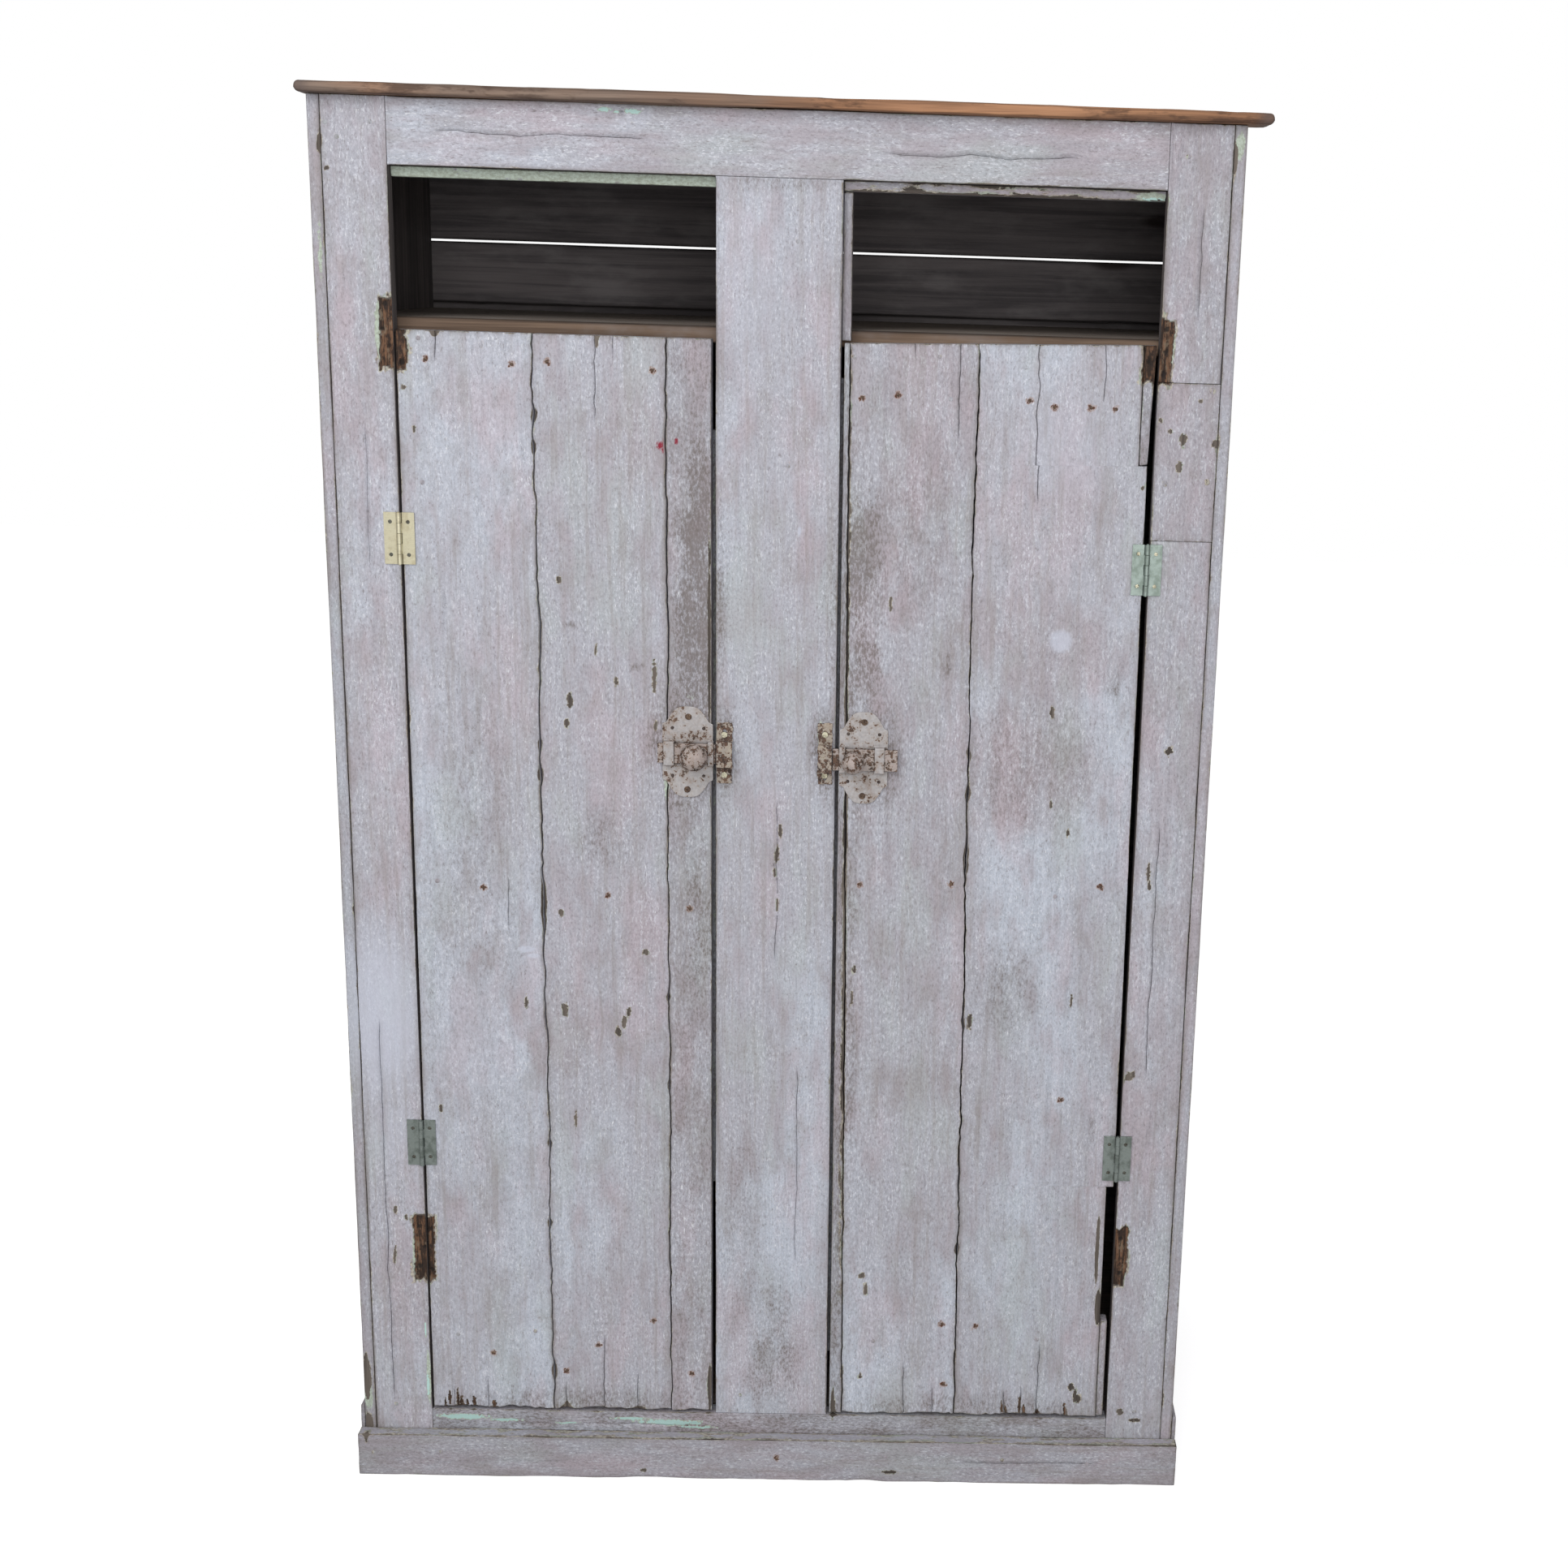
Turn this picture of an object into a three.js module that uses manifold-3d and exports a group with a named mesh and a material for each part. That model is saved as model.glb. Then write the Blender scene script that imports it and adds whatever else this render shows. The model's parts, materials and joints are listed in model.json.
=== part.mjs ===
// Rabbit hutch: a tall two-door cupboard of painted boards, standing on a plinth.
//
// Millimetres, +Z up, the doors face -Y. Every piece is laid out in the carcass frame: x = 0 midway
// between the sides, y = 0 on the front face of the face frame, z = 0 on the ground. The last step
// moves the whole hutch so that the origin is the bottom centre of its bounding box.
//
// Pieces that touch keep TOUCH between them.

import * as THREE from "three";
import { mergeVertices } from "three/addons/utils/BufferGeometryUtils.js";
import Module from "manifold-3d";

const wasm = await Module();
wasm.setup();

// ---- driving dimensions -------------------------------------------------------------------------

const TOUCH = 0.3;

// Carcass
const HALF_WIDTH = 520;
const DEPTH = 520;
const BODY_HEIGHT = 1691;
const SIDE_THICKNESS = 14;
const BACK_THICKNESS = 14;
const INNER_HALF_WIDTH = HALF_WIDTH - SIDE_THICKNESS;
const BACK_INNER = DEPTH - BACK_THICKNESS;

// Loose top: its narrow front board overhangs the front and both sides, the right one more, and
// its wide rear board is flush with the sides
const TOP = { left: -530, right: 548, front: -15.5, back: 520, thickness: 13, joint: 48 };

// Face frame
const FRAME_THICKNESS = 22;
const DOORWAY_HALF_SPAN = 434;
const CENTRE_STILE_HALF_WIDTH = 71;
const TOP_RAIL_BOTTOM = 1618;
const BOTTOM_RAIL_TOP = 84;
const PATCH = { bottom: 1225, top: 1407, depth: 10 };

// Plinth
const PLINTH = { thickness: 19, overhang: 5.6, frontHeight: 52.3, backHeight: 57.5, returnHeight: 88 };

// Inside
const SHELF = { top: 1454, thickness: 20, front: 31, joint: 268 };
const CLEAT = { width: 20, height: 20, front: 44, back: 500 };
const FLOOR_THICKNESS = 20;
const BACK_JOINTS = [0, 292, 584, 876, 1168, 1462, 1543.5, BODY_HEIGHT];
const BACK_JOINT_GAP = 1;
const DAYLIGHT_GAP = 4;
const DAYLIGHT_JOINT = 6;

// Strips around the two openings above the doors
const STRIP = { front: 12.5, back: 30, height: 11.5, jambWidth: 10.7, aboveDoor: 2 };

// Battens behind the centre stile that stop the doors
const DOOR_STOP = { inner: 50, outer: 86, thickness: 15 };
const LEFT_STOP_SPAN = [397, 1337];
const RIGHT_STOP_SPAN = [162, 1400];

// Doors: upright boards nailed to three ledges
const DOOR_THICKNESS = 20;
const DOOR_BOTTOM = 87;
const BOARD_GAP = 1.2;
const LEDGE = { thickness: 20, height: 80, inset: 26, middles: [190, 785, 1390] };

const LEFT_DOOR = { hingeEdge: -431.5, latchEdge: -76, top: 1440, joints: [-277.7, -127.2] };

// The right door has run out of square: its joints and its top lean, and its hinge edge is patched
const RIGHT_DOOR = {
  latchEdge: 75,
  topAtLatch: 1440,
  topAtHinge: 1448,
  lipJoint: { top: 80.6, bottom: 91.5 },
  boardJoint: { top: 227, bottom: 237 },
  edge: { upper: 426, lower: 429 },
  upperStrip: { inner: 416, bottom: 1311 },
  chip: { inner: 420, top: 410, bottom: 223 },
};

// Butt hinges, 60 x 35, screwed on the face with the knuckle outwards
const HINGE = {
  height: 60,
  leafWidth: 17.5,
  leafThickness: 1.5,
  knuckleRadius: 3,
  knuckles: 5,
  knuckleGap: 0.4,
  pinRadius: 1.4,
  boreRadius: 1.75,
  pinOverrun: 0.8,
  holeRadius: 2.3,
  holeFromEdge: 11,
  holeFromAxis: 10.2,
};
const HINGE_AXIS_Y = -(TOUCH + HINGE.knuckleRadius);
const LEFT_HINGE = { x: -434.7, middles: { upper: 1204, lower: 453 } };
const RIGHT_HINGE = { x: 431, middles: { upper: 1191, lower: 449 } };

// Door bolts: a lobed plate with two guides, a flat bar with a ball knob, a keeper on the stile
const PLATE_THICKNESS = 1.5;
const BAR = { thickness: 5, lift: 0.5 };
const GUIDE = { thickness: 1.5, clearance: 0.5, footHeight: 2 };
const LOBE = { shoulderInset: 5, shoulderHeight: 68 };
const KEEPER = { thickness: 1.5, bridgeInside: 8, mouthClearance: 2.6, screwRadius: 2.2 };
const TIP_GAP = 0.4;

const LEFT_BOLT = {
  towardsKeeper: 1,
  plate: { from: -134, to: -74, bottom: 904, top: 1014.6 },
  barMiddle: 958.5,
  barHeight: 24,
  guides: [[-132, -119.5], [-79.5, -73]],
  tail: -139.3,
  knob: { x: -94.5, radius: 16.5, standOff: 19.5 },
  keeper: { from: -70, to: -51, bottom: 922, top: 996 },
};
const RIGHT_BOLT = {
  towardsKeeper: -1,
  plate: { from: 76, to: 133.5, bottom: 901, top: 1013.2 },
  barMiddle: 955.5,
  barHeight: 26,
  guides: [[76, 83], [118, 129.5]],
  tail: 145.2,
  knob: { x: 93, radius: 13.5, standOff: 17 },
  keeper: { from: 50, to: 67.3, bottom: 924, top: 999 },
};

// ---- finishes -----------------------------------------------------------------------------------

const finishes = {
  paintedWood: { color: 0xada5b0, roughness: 0.85, metalness: 0 },
  agedWood: { color: 0x4a362a, roughness: 0.9, metalness: 0 },
  topWood: { color: 0x7a4a2b, roughness: 0.75, metalness: 0 },
  brass: { color: 0xc9b070, roughness: 0.35, metalness: 1 },
  zincBright: { color: 0xa3b3a6, roughness: 0.4, metalness: 1 },
  zincDull: { color: 0x6d7a72, roughness: 0.5, metalness: 1 },
  paintedIron: { color: 0x9c8f90, roughness: 0.8, metalness: 0.2 },
  rustedIron: { color: 0x6b5548, roughness: 0.85, metalness: 0.4 },
};

const hutch = new THREE.Group();

function addMesh(name, finish, geometry) {
  const mesh = new THREE.Mesh(geometry, new THREE.MeshStandardMaterial(finishes[finish]));
  mesh.name = name;
  hutch.add(mesh);
  return mesh;
}

// ---- shapes -------------------------------------------------------------------------------------

// A box between two limits on each axis.
function boxBetween([x0, x1], [y0, y1], [z0, z1]) {
  const box = new THREE.BoxGeometry(x1 - x0, y1 - y0, z1 - z0);
  return box.translate((x0 + x1) / 2, (y0 + y1) / 2, (z0 + z1) / 2);
}

function addBoard(name, finish, xs, ys, zs) {
  return addMesh(name, finish, boxBetween(xs, ys, zs));
}

// An upright outline in x and z, extruded from y0 to y1.
function extrudeAlongY(shape, y0, y1) {
  const solid = new THREE.ExtrudeGeometry(shape, { depth: y1 - y0, bevelEnabled: false, curveSegments: 10 });
  return solid.rotateX(Math.PI / 2).translate(0, y1, 0);
}

function shapeOf(points) {
  return new THREE.Shape(points.map(([x, z]) => new THREE.Vector2(x, z)));
}

function uprightCylinder(radius, x, y, z0, z1, sides = 20) {
  const cylinder = new THREE.CylinderGeometry(radius, radius, z1 - z0, sides);
  return cylinder.rotateX(Math.PI / 2).translate(x, y, (z0 + z1) / 2);
}

function cylinderAlongY(radius, x, z, y0, y1, sides = 14) {
  const cylinder = new THREE.CylinderGeometry(radius, radius, y1 - y0, sides);
  return cylinder.translate(x, (y0 + y1) / 2, z);
}

function toManifold(geometry) {
  const plain = geometry.clone();
  plain.deleteAttribute("normal");
  plain.deleteAttribute("uv");
  const merged = mergeVertices(plain, 1e-4);
  return new wasm.Manifold(
    new wasm.Mesh({
      numProp: 3,
      vertProperties: new Float32Array(merged.attributes.position.array),
      triVerts: new Uint32Array(merged.index.array),
    }),
  );
}

function toGeometry(manifold) {
  const mesh = manifold.getMesh();
  const geometry = new THREE.BufferGeometry();
  geometry.setAttribute("position", new THREE.BufferAttribute(mesh.vertProperties, 3));
  geometry.setIndex(new THREE.BufferAttribute(mesh.triVerts, 1));
  geometry.computeVertexNormals();
  return geometry;
}

// Joins the first list of geometries and cuts the second list away.
function joinAndCut(joined, cut = []) {
  let solid = toManifold(joined[0]);
  for (const piece of joined.slice(1)) solid = solid.add(toManifold(piece));
  for (const piece of cut) solid = solid.subtract(toManifold(piece));
  return toGeometry(solid);
}

// ---- carcass ------------------------------------------------------------------------------------

function buildTop() {
  const zs = [BODY_HEIGHT, BODY_HEIGHT + TOP.thickness];
  const frontXs = [TOP.left, TOP.right];
  const rearXs = [-HALF_WIDTH, HALF_WIDTH];
  addBoard("top_board_front", "topWood", frontXs, [TOP.front, TOP.joint], zs);
  addBoard("top_board_rear", "topWood", rearXs, [TOP.joint + TOUCH, TOP.back], zs);
}

function buildSides() {
  const joint = BACK_INNER / 2;
  const zs = [0, BODY_HEIGHT - TOUCH];
  const sides = { left: [-HALF_WIDTH, -INNER_HALF_WIDTH], right: [INNER_HALF_WIDTH, HALF_WIDTH] };
  for (const [side, xs] of Object.entries(sides)) {
    addBoard(`${side}_side_board_front`, "paintedWood", xs, [0, joint], zs);
    addBoard(`${side}_side_board_rear`, "paintedWood", xs, [joint + TOUCH, BACK_INNER - TOUCH], zs);
  }
}

function buildBack() {
  const ys = [BACK_INNER, DEPTH];
  const xs = [-HALF_WIDTH, HALF_WIDTH];
  const lastJoint = BACK_JOINTS.length - 1;
  const gapAt = (joint) => (joint === DAYLIGHT_JOINT ? DAYLIGHT_GAP : BACK_JOINT_GAP);
  for (let i = 0; i < lastJoint; i++) {
    const bottom = BACK_JOINTS[i] + (i === 0 ? 0 : gapAt(i) / 2);
    const top = BACK_JOINTS[i + 1] - (i + 1 === lastJoint ? TOUCH : gapAt(i + 1) / 2);
    addBoard(`back_board_${i + 1}`, "agedWood", xs, ys, [bottom, top]);
  }
}

// The right stile is notched on its face for the let-in patch.
function buildStiles() {
  const outer = INNER_HALF_WIDTH - TOUCH;
  const top = BODY_HEIGHT - TOUCH;
  addBoard("left_stile", "paintedWood", [-outer, -DOORWAY_HALF_SPAN], [0, FRAME_THICKNESS], [0, top]);

  const stile = boxBetween([DOORWAY_HALF_SPAN, outer], [0, FRAME_THICKNESS], [0, top]);
  const notch = boxBetween([DOORWAY_HALF_SPAN - 1, outer + 1], [-1, PATCH.depth], [PATCH.bottom, PATCH.top]);
  addMesh("right_stile", "paintedWood", joinAndCut([stile], [notch]));
  addBoard(
    "right_stile_patch",
    "paintedWood",
    [DOORWAY_HALF_SPAN, outer],
    [0, PATCH.depth - TOUCH],
    [PATCH.bottom + TOUCH, PATCH.top - TOUCH],
  );

  addBoard(
    "centre_stile",
    "paintedWood",
    [-CENTRE_STILE_HALF_WIDTH, CENTRE_STILE_HALF_WIDTH],
    [0, FRAME_THICKNESS],
    [BOTTOM_RAIL_TOP + TOUCH, TOP_RAIL_BOTTOM - TOUCH],
  );
}

function buildRails() {
  const xs = [-DOORWAY_HALF_SPAN + TOUCH, DOORWAY_HALF_SPAN - TOUCH];
  const ys = [0, FRAME_THICKNESS];
  addBoard("top_rail", "paintedWood", xs, ys, [TOP_RAIL_BOTTOM, BODY_HEIGHT - TOUCH]);
  addBoard("bottom_rail", "paintedWood", xs, ys, [0, BOTTOM_RAIL_TOP]);
}

// The plinth boards have worn, sloping tops.
function buildPlinth() {
  const reach = HALF_WIDTH + PLINTH.overhang;
  const section = shapeOf([
    [0, 0],
    [PLINTH.thickness, 0],
    [PLINTH.thickness, PLINTH.backHeight],
    [0, PLINTH.frontHeight],
  ]);
  const front = new THREE.ExtrudeGeometry(section, { depth: 2 * reach, bevelEnabled: false });
  front.rotateX(Math.PI / 2).rotateZ(Math.PI / 2);
  front.translate(-reach, -PLINTH.thickness - TOUCH, 0);
  addMesh("plinth_front", "paintedWood", front);

  for (const [side, sign] of [["left", -1], ["right", 1]]) {
    const inner = sign * (HALF_WIDTH + TOUCH);
    const outer = sign * reach;
    const outline = shapeOf([
      [inner, 0],
      [outer, 0],
      [outer, PLINTH.backHeight],
      [inner, PLINTH.returnHeight],
    ]);
    addMesh(`plinth_${side}`, "paintedWood", extrudeAlongY(outline, 0, DEPTH));
  }
}

// ---- inside -------------------------------------------------------------------------------------

function buildInside() {
  const width = INNER_HALF_WIDTH - TOUCH;
  const xs = [-width, width];
  const back = BACK_INNER - TOUCH;
  const shelfZs = [SHELF.top - SHELF.thickness, SHELF.top];
  addBoard("upper_shelf_front", "agedWood", xs, [SHELF.front, SHELF.joint], shelfZs);
  addBoard("upper_shelf_rear", "agedWood", xs, [SHELF.joint + TOUCH, back], shelfZs);

  const cleatTop = shelfZs[0] - TOUCH;
  const cleatZs = [cleatTop - CLEAT.height, cleatTop];
  const cleatYs = [CLEAT.front, CLEAT.back];
  addBoard("left_shelf_cleat", "agedWood", [-width, -width + CLEAT.width], cleatYs, cleatZs);
  addBoard("right_shelf_cleat", "agedWood", [width - CLEAT.width, width], cleatYs, cleatZs);

  const floorZs = [BOTTOM_RAIL_TOP - FLOOR_THICKNESS, BOTTOM_RAIL_TOP];
  addBoard("floor_board", "agedWood", xs, [FRAME_THICKNESS + TOUCH, back], floorZs);
}

function buildStrips() {
  const ys = [STRIP.front, STRIP.back];
  const inner = CENTRE_STILE_HALF_WIDTH + TOUCH;
  const outer = DOORWAY_HALF_SPAN - TOUCH;
  const top = TOP_RAIL_BOTTOM - TOUCH;
  const zs = [top - STRIP.height, top];
  addBoard("left_head_strip", "paintedWood", [-outer, -inner], ys, zs);
  addBoard("right_head_strip", "paintedWood", [inner, outer], ys, zs);
  const jambZs = [RIGHT_DOOR.topAtLatch + STRIP.aboveDoor, zs[0] - TOUCH];
  addBoard("right_jamb_strip", "paintedWood", [inner, inner + STRIP.jambWidth], ys, jambZs);
}

function buildDoorStops() {
  const front = FRAME_THICKNESS + TOUCH;
  const ys = [front, front + DOOR_STOP.thickness];
  addBoard("left_door_stop", "paintedWood", [-DOOR_STOP.outer, -DOOR_STOP.inner], ys, LEFT_STOP_SPAN);
  addBoard("right_door_stop", "paintedWood", [DOOR_STOP.inner, DOOR_STOP.outer], ys, RIGHT_STOP_SPAN);
}

// ---- doors --------------------------------------------------------------------------------------

function addDoorBoard(name, outline) {
  addMesh(name, "paintedWood", extrudeAlongY(shapeOf(outline), 0, DOOR_THICKNESS));
}

function addLedges(door, x0, x1) {
  const ys = [DOOR_THICKNESS + TOUCH, DOOR_THICKNESS + TOUCH + LEDGE.thickness];
  ["lower", "middle", "upper"].forEach((place, i) => {
    const middle = LEDGE.middles[i];
    const zs = [middle - LEDGE.height / 2, middle + LEDGE.height / 2];
    addBoard(`${door}_door_ledge_${place}`, "agedWood", [x0 + LEDGE.inset, x1 - LEDGE.inset], ys, zs);
  });
}

function buildLeftDoor() {
  const { hingeEdge, latchEdge, top, joints } = LEFT_DOOR;
  const edges = [hingeEdge, ...joints, latchEdge];
  const names = ["hinge", "middle", "latch"];
  names.forEach((name, i) => {
    const left = edges[i] + (i === 0 ? 0 : BOARD_GAP / 2);
    const right = edges[i + 1] - (i === names.length - 1 ? 0 : BOARD_GAP / 2);
    const outline = [[left, DOOR_BOTTOM], [right, DOOR_BOTTOM], [right, top], [left, top]];
    addDoorBoard(`left_door_board_${name}`, outline);
  });
  addLedges("left", hingeEdge, latchEdge);
}

function buildRightDoor() {
  const { latchEdge, lipJoint, boardJoint, edge, upperStrip, chip } = RIGHT_DOOR;
  const half = BOARD_GAP / 2;
  const bottom = DOOR_BOTTOM;
  const slope = (RIGHT_DOOR.topAtHinge - RIGHT_DOOR.topAtLatch) / (edge.upper - latchEdge);
  const topAt = (x) => RIGHT_DOOR.topAtLatch + slope * (x - latchEdge);
  const topPoint = (x) => [x, topAt(x)];

  addDoorBoard("right_door_lip", [
    [latchEdge, bottom],
    [lipJoint.bottom - half, bottom],
    topPoint(lipJoint.top - half),
    topPoint(latchEdge),
  ]);
  addDoorBoard("right_door_board_latch", [
    [lipJoint.bottom + half, bottom],
    [boardJoint.bottom - half, bottom],
    topPoint(boardJoint.top - half),
    topPoint(lipJoint.top + half),
  ]);
  addDoorBoard("right_door_board_hinge", [
    [boardJoint.bottom + half, bottom],
    [chip.inner, bottom],
    [chip.inner, chip.top],
    [edge.lower, chip.top],
    [edge.upper, upperStrip.bottom],
    [upperStrip.inner, upperStrip.bottom],
    topPoint(upperStrip.inner),
    topPoint(boardJoint.top + half),
  ]);
  addDoorBoard("right_door_edge_upper", [
    [upperStrip.inner + half, upperStrip.bottom + half],
    [edge.upper, upperStrip.bottom + half],
    topPoint(edge.upper),
    topPoint(upperStrip.inner + half),
  ]);
  addDoorBoard("right_door_edge_lower", [
    [chip.inner + half, bottom],
    [edge.lower, bottom],
    [edge.lower, chip.bottom],
    [chip.inner + half, chip.bottom],
  ]);
  addLedges("right", latchEdge, edge.lower);
}

// ---- hinges -------------------------------------------------------------------------------------

// One leaf of a butt hinge. sign is +1 when the leaf lies on the +x side of the knuckle. The frame
// leaf has the odd knuckles and carries the pin, the door leaf has the even ones and turns on it.
function hingeLeaf(axisX, middle, sign, carriesPin) {
  const { height, leafWidth, leafThickness, knuckleRadius, knuckles, knuckleGap } = HINGE;
  const bottom = middle - height / 2;
  const leafYs = [-TOUCH - leafThickness, -TOUCH];
  const clearOfKnuckle = knuckleRadius + knuckleGap;
  const sorted = (a, b) => (a < b ? [a, b] : [b, a]);
  const across = (from, to) => sorted(axisX + sign * from, axisX + sign * to);

  const joined = [boxBetween(across(clearOfKnuckle, leafWidth), leafYs, [bottom, bottom + height])];
  const knuckleHeight = height / knuckles;
  for (let i = carriesPin ? 0 : 1; i < knuckles; i += 2) {
    const z0 = bottom + i * knuckleHeight + knuckleGap / 2;
    const z1 = bottom + (i + 1) * knuckleHeight - knuckleGap / 2;
    joined.push(uprightCylinder(knuckleRadius, axisX, HINGE_AXIS_Y, z0, z1));
    joined.push(boxBetween(across(0, clearOfKnuckle + 1), leafYs, [z0, z1]));
  }
  const cut = [HINGE.holeFromEdge, height - HINGE.holeFromEdge].map((up) =>
    cylinderAlongY(HINGE.holeRadius, axisX + sign * HINGE.holeFromAxis, bottom + up, -5, 1),
  );
  const pinEnds = [bottom - HINGE.pinOverrun, bottom + height + HINGE.pinOverrun];
  if (carriesPin) {
    joined.push(uprightCylinder(HINGE.pinRadius, axisX, HINGE_AXIS_Y, ...pinEnds));
  } else {
    cut.push(uprightCylinder(HINGE.boreRadius, axisX, HINGE_AXIS_Y, ...pinEnds));
  }
  return joinAndCut(joined, cut);
}

function buildHinges() {
  const rows = [
    ["left_upper", LEFT_HINGE.x, LEFT_HINGE.middles.upper, 1, "brass"],
    ["left_lower", LEFT_HINGE.x, LEFT_HINGE.middles.lower, 1, "zincDull"],
    ["right_upper", RIGHT_HINGE.x, RIGHT_HINGE.middles.upper, -1, "zincBright"],
    ["right_lower", RIGHT_HINGE.x, RIGHT_HINGE.middles.lower, -1, "zincDull"],
  ];
  for (const [place, x, middle, doorSign, finish] of rows) {
    addMesh(`${place}_hinge_frame_leaf`, finish, hingeLeaf(x, middle, -doorSign, true));
    addMesh(`${place}_hinge_door_leaf`, finish, hingeLeaf(x, middle, doorSign, false));
  }
}

// ---- bolts --------------------------------------------------------------------------------------

// The plate's outline: straight sides between four shoulders, with a round lobe above and below.
function lobedOutline({ from, to, bottom, top }) {
  const middle = (from + to) / 2;
  const centre = (bottom + top) / 2;
  const halfSide = LOBE.shoulderHeight / 2;
  const lobeHalf = (to - from) / 2 - LOBE.shoulderInset;
  const shape = new THREE.Shape();
  shape.moveTo(from, centre - halfSide);
  shape.lineTo(from + LOBE.shoulderInset, centre - halfSide - LOBE.shoulderInset / 2);
  shape.bezierCurveTo(middle - lobeHalf * 0.6, bottom, middle - lobeHalf * 0.4, bottom, middle, bottom);
  shape.bezierCurveTo(
    middle + lobeHalf * 0.4, bottom,
    middle + lobeHalf * 0.6, bottom,
    to - LOBE.shoulderInset, centre - halfSide - LOBE.shoulderInset / 2,
  );
  shape.lineTo(to, centre - halfSide);
  shape.lineTo(to, centre + halfSide);
  shape.lineTo(to - LOBE.shoulderInset, centre + halfSide + LOBE.shoulderInset / 2);
  shape.bezierCurveTo(middle + lobeHalf * 0.6, top, middle + lobeHalf * 0.4, top, middle, top);
  shape.bezierCurveTo(
    middle - lobeHalf * 0.4, top,
    middle - lobeHalf * 0.6, top,
    from + LOBE.shoulderInset, centre + halfSide + LOBE.shoulderInset / 2,
  );
  shape.lineTo(from, centre + halfSide);
  return shape;
}

const barBack = -(TOUCH + PLATE_THICKNESS + BAR.lift);
const barFront = barBack - BAR.thickness;

function boltPlate(bolt) {
  const plateFront = -TOUCH - PLATE_THICKNESS;
  const guideInside = barFront - GUIDE.clearance;
  const guideFront = guideInside - GUIDE.thickness;
  const halfMouth = bolt.barHeight / 2 + GUIDE.clearance;
  const halfGuide = halfMouth + GUIDE.footHeight;
  const joined = [extrudeAlongY(lobedOutline(bolt.plate), plateFront, -TOUCH)];
  const cut = [];
  const barZs = [bolt.barMiddle - halfMouth, bolt.barMiddle + halfMouth];
  for (const [x0, x1] of bolt.guides) {
    const guideZs = [bolt.barMiddle - halfGuide, bolt.barMiddle + halfGuide];
    joined.push(boxBetween([x0, x1], [guideFront, -TOUCH - PLATE_THICKNESS / 2], guideZs));
    cut.push(boxBetween([x0 - 1, x1 + 1], [guideInside, plateFront], barZs));
  }
  return joinAndCut(joined, cut);
}

// The knob is turned: a neck that starts inside the bar, then a ball, as a profile from the axis
// out and back to it. The ball's centre stands standOff in front of the bar.
const NECK_SHARE = 0.34;
const NECK_START = -BAR.thickness / 2;

function knobProfile(radius, standOff) {
  const neck = radius * NECK_SHARE;
  const steps = 9;
  const points = [new THREE.Vector2(0, NECK_START), new THREE.Vector2(neck, NECK_START)];
  const neckAngle = Math.asin(NECK_SHARE);
  for (let i = 0; i < steps; i++) {
    const angle = (Math.PI - neckAngle) * (1 - i / steps);
    points.push(new THREE.Vector2(radius * Math.sin(angle), standOff + radius * Math.cos(angle)));
  }
  points.push(new THREE.Vector2(0, standOff + radius));
  return points;
}

function boltBar(bolt) {
  const keeperEdge = bolt.towardsKeeper > 0 ? bolt.keeper.from : bolt.keeper.to;
  const tip = keeperEdge - bolt.towardsKeeper * TIP_GAP;
  const xs = [Math.min(tip, bolt.tail), Math.max(tip, bolt.tail)];
  const zs = [bolt.barMiddle - bolt.barHeight / 2, bolt.barMiddle + bolt.barHeight / 2];
  const bar = boxBetween(xs, [barFront, barBack], zs);

  const { x, radius, standOff } = bolt.knob;
  const knob = new THREE.LatheGeometry(knobProfile(radius, standOff), 22);
  knob.rotateX(Math.PI).translate(x, barFront, bolt.barMiddle);
  return joinAndCut([bar, knob]);
}

// The keeper is a strip with two screw ears and a raised bridge that the bar slides under.
function boltKeeper(bolt) {
  const { from, to, bottom, top } = bolt.keeper;
  const halfMouth = bolt.barHeight / 2 + KEEPER.mouthClearance;
  const mouth = [bolt.barMiddle - halfMouth, bolt.barMiddle + halfMouth];
  const bridge = [mouth[0] - KEEPER.thickness, mouth[1] + KEEPER.thickness];
  const inside = -TOUCH - KEEPER.bridgeInside;
  const xs = [from, to];
  const middle = (from + to) / 2;
  const joined = [
    boxBetween(xs, [-TOUCH - KEEPER.thickness, -TOUCH], [bottom, top]),
    boxBetween(xs, [inside - KEEPER.thickness, -TOUCH], bridge),
  ];
  const cut = [boxBetween([from - 1, to + 1], [inside, 1], mouth)];
  for (const z of [(bottom + bridge[0]) / 2, (top + bridge[1]) / 2]) {
    cut.push(cylinderAlongY(KEEPER.screwRadius, middle, z, -5, 1));
  }
  return joinAndCut(joined, cut);
}

function buildBolts() {
  for (const [side, bolt] of [["left", LEFT_BOLT], ["right", RIGHT_BOLT]]) {
    addMesh(`${side}_bolt_plate`, "paintedIron", boltPlate(bolt));
    addMesh(`${side}_bolt_bar`, "paintedIron", boltBar(bolt));
    addMesh(`${side}_bolt_keeper`, "rustedIron", boltKeeper(bolt));
  }
}

// ---- the whole hutch ----------------------------------------------------------------------------

buildTop();
buildSides();
buildBack();
buildStiles();
buildRails();
buildPlinth();
buildInside();
buildStrips();
buildDoorStops();
buildLeftDoor();
buildRightDoor();
buildHinges();
buildBolts();

// Origin at the bottom centre of the bounding box.
const box = new THREE.Box3().setFromObject(hutch);
hutch.position.set(-(box.min.x + box.max.x) / 2, -(box.min.y + box.max.y) / 2, -box.min.z);

export default hutch;
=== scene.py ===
"""Looks for the rabbit hutch: worn painted boards, old bare wood, hinges and door bolts.

Every board stands for the CAD board of the same name. Its mesh is a fine grid over that board's
box, with worn edges, cracks and recesses as real shape, and with point attributes that tell the
paint where it is dirty, stained, chipped or missing. Places on the front are in millimetres: x from
the middle of the centre stile, z up from the ground.
"""

import json
import math

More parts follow.
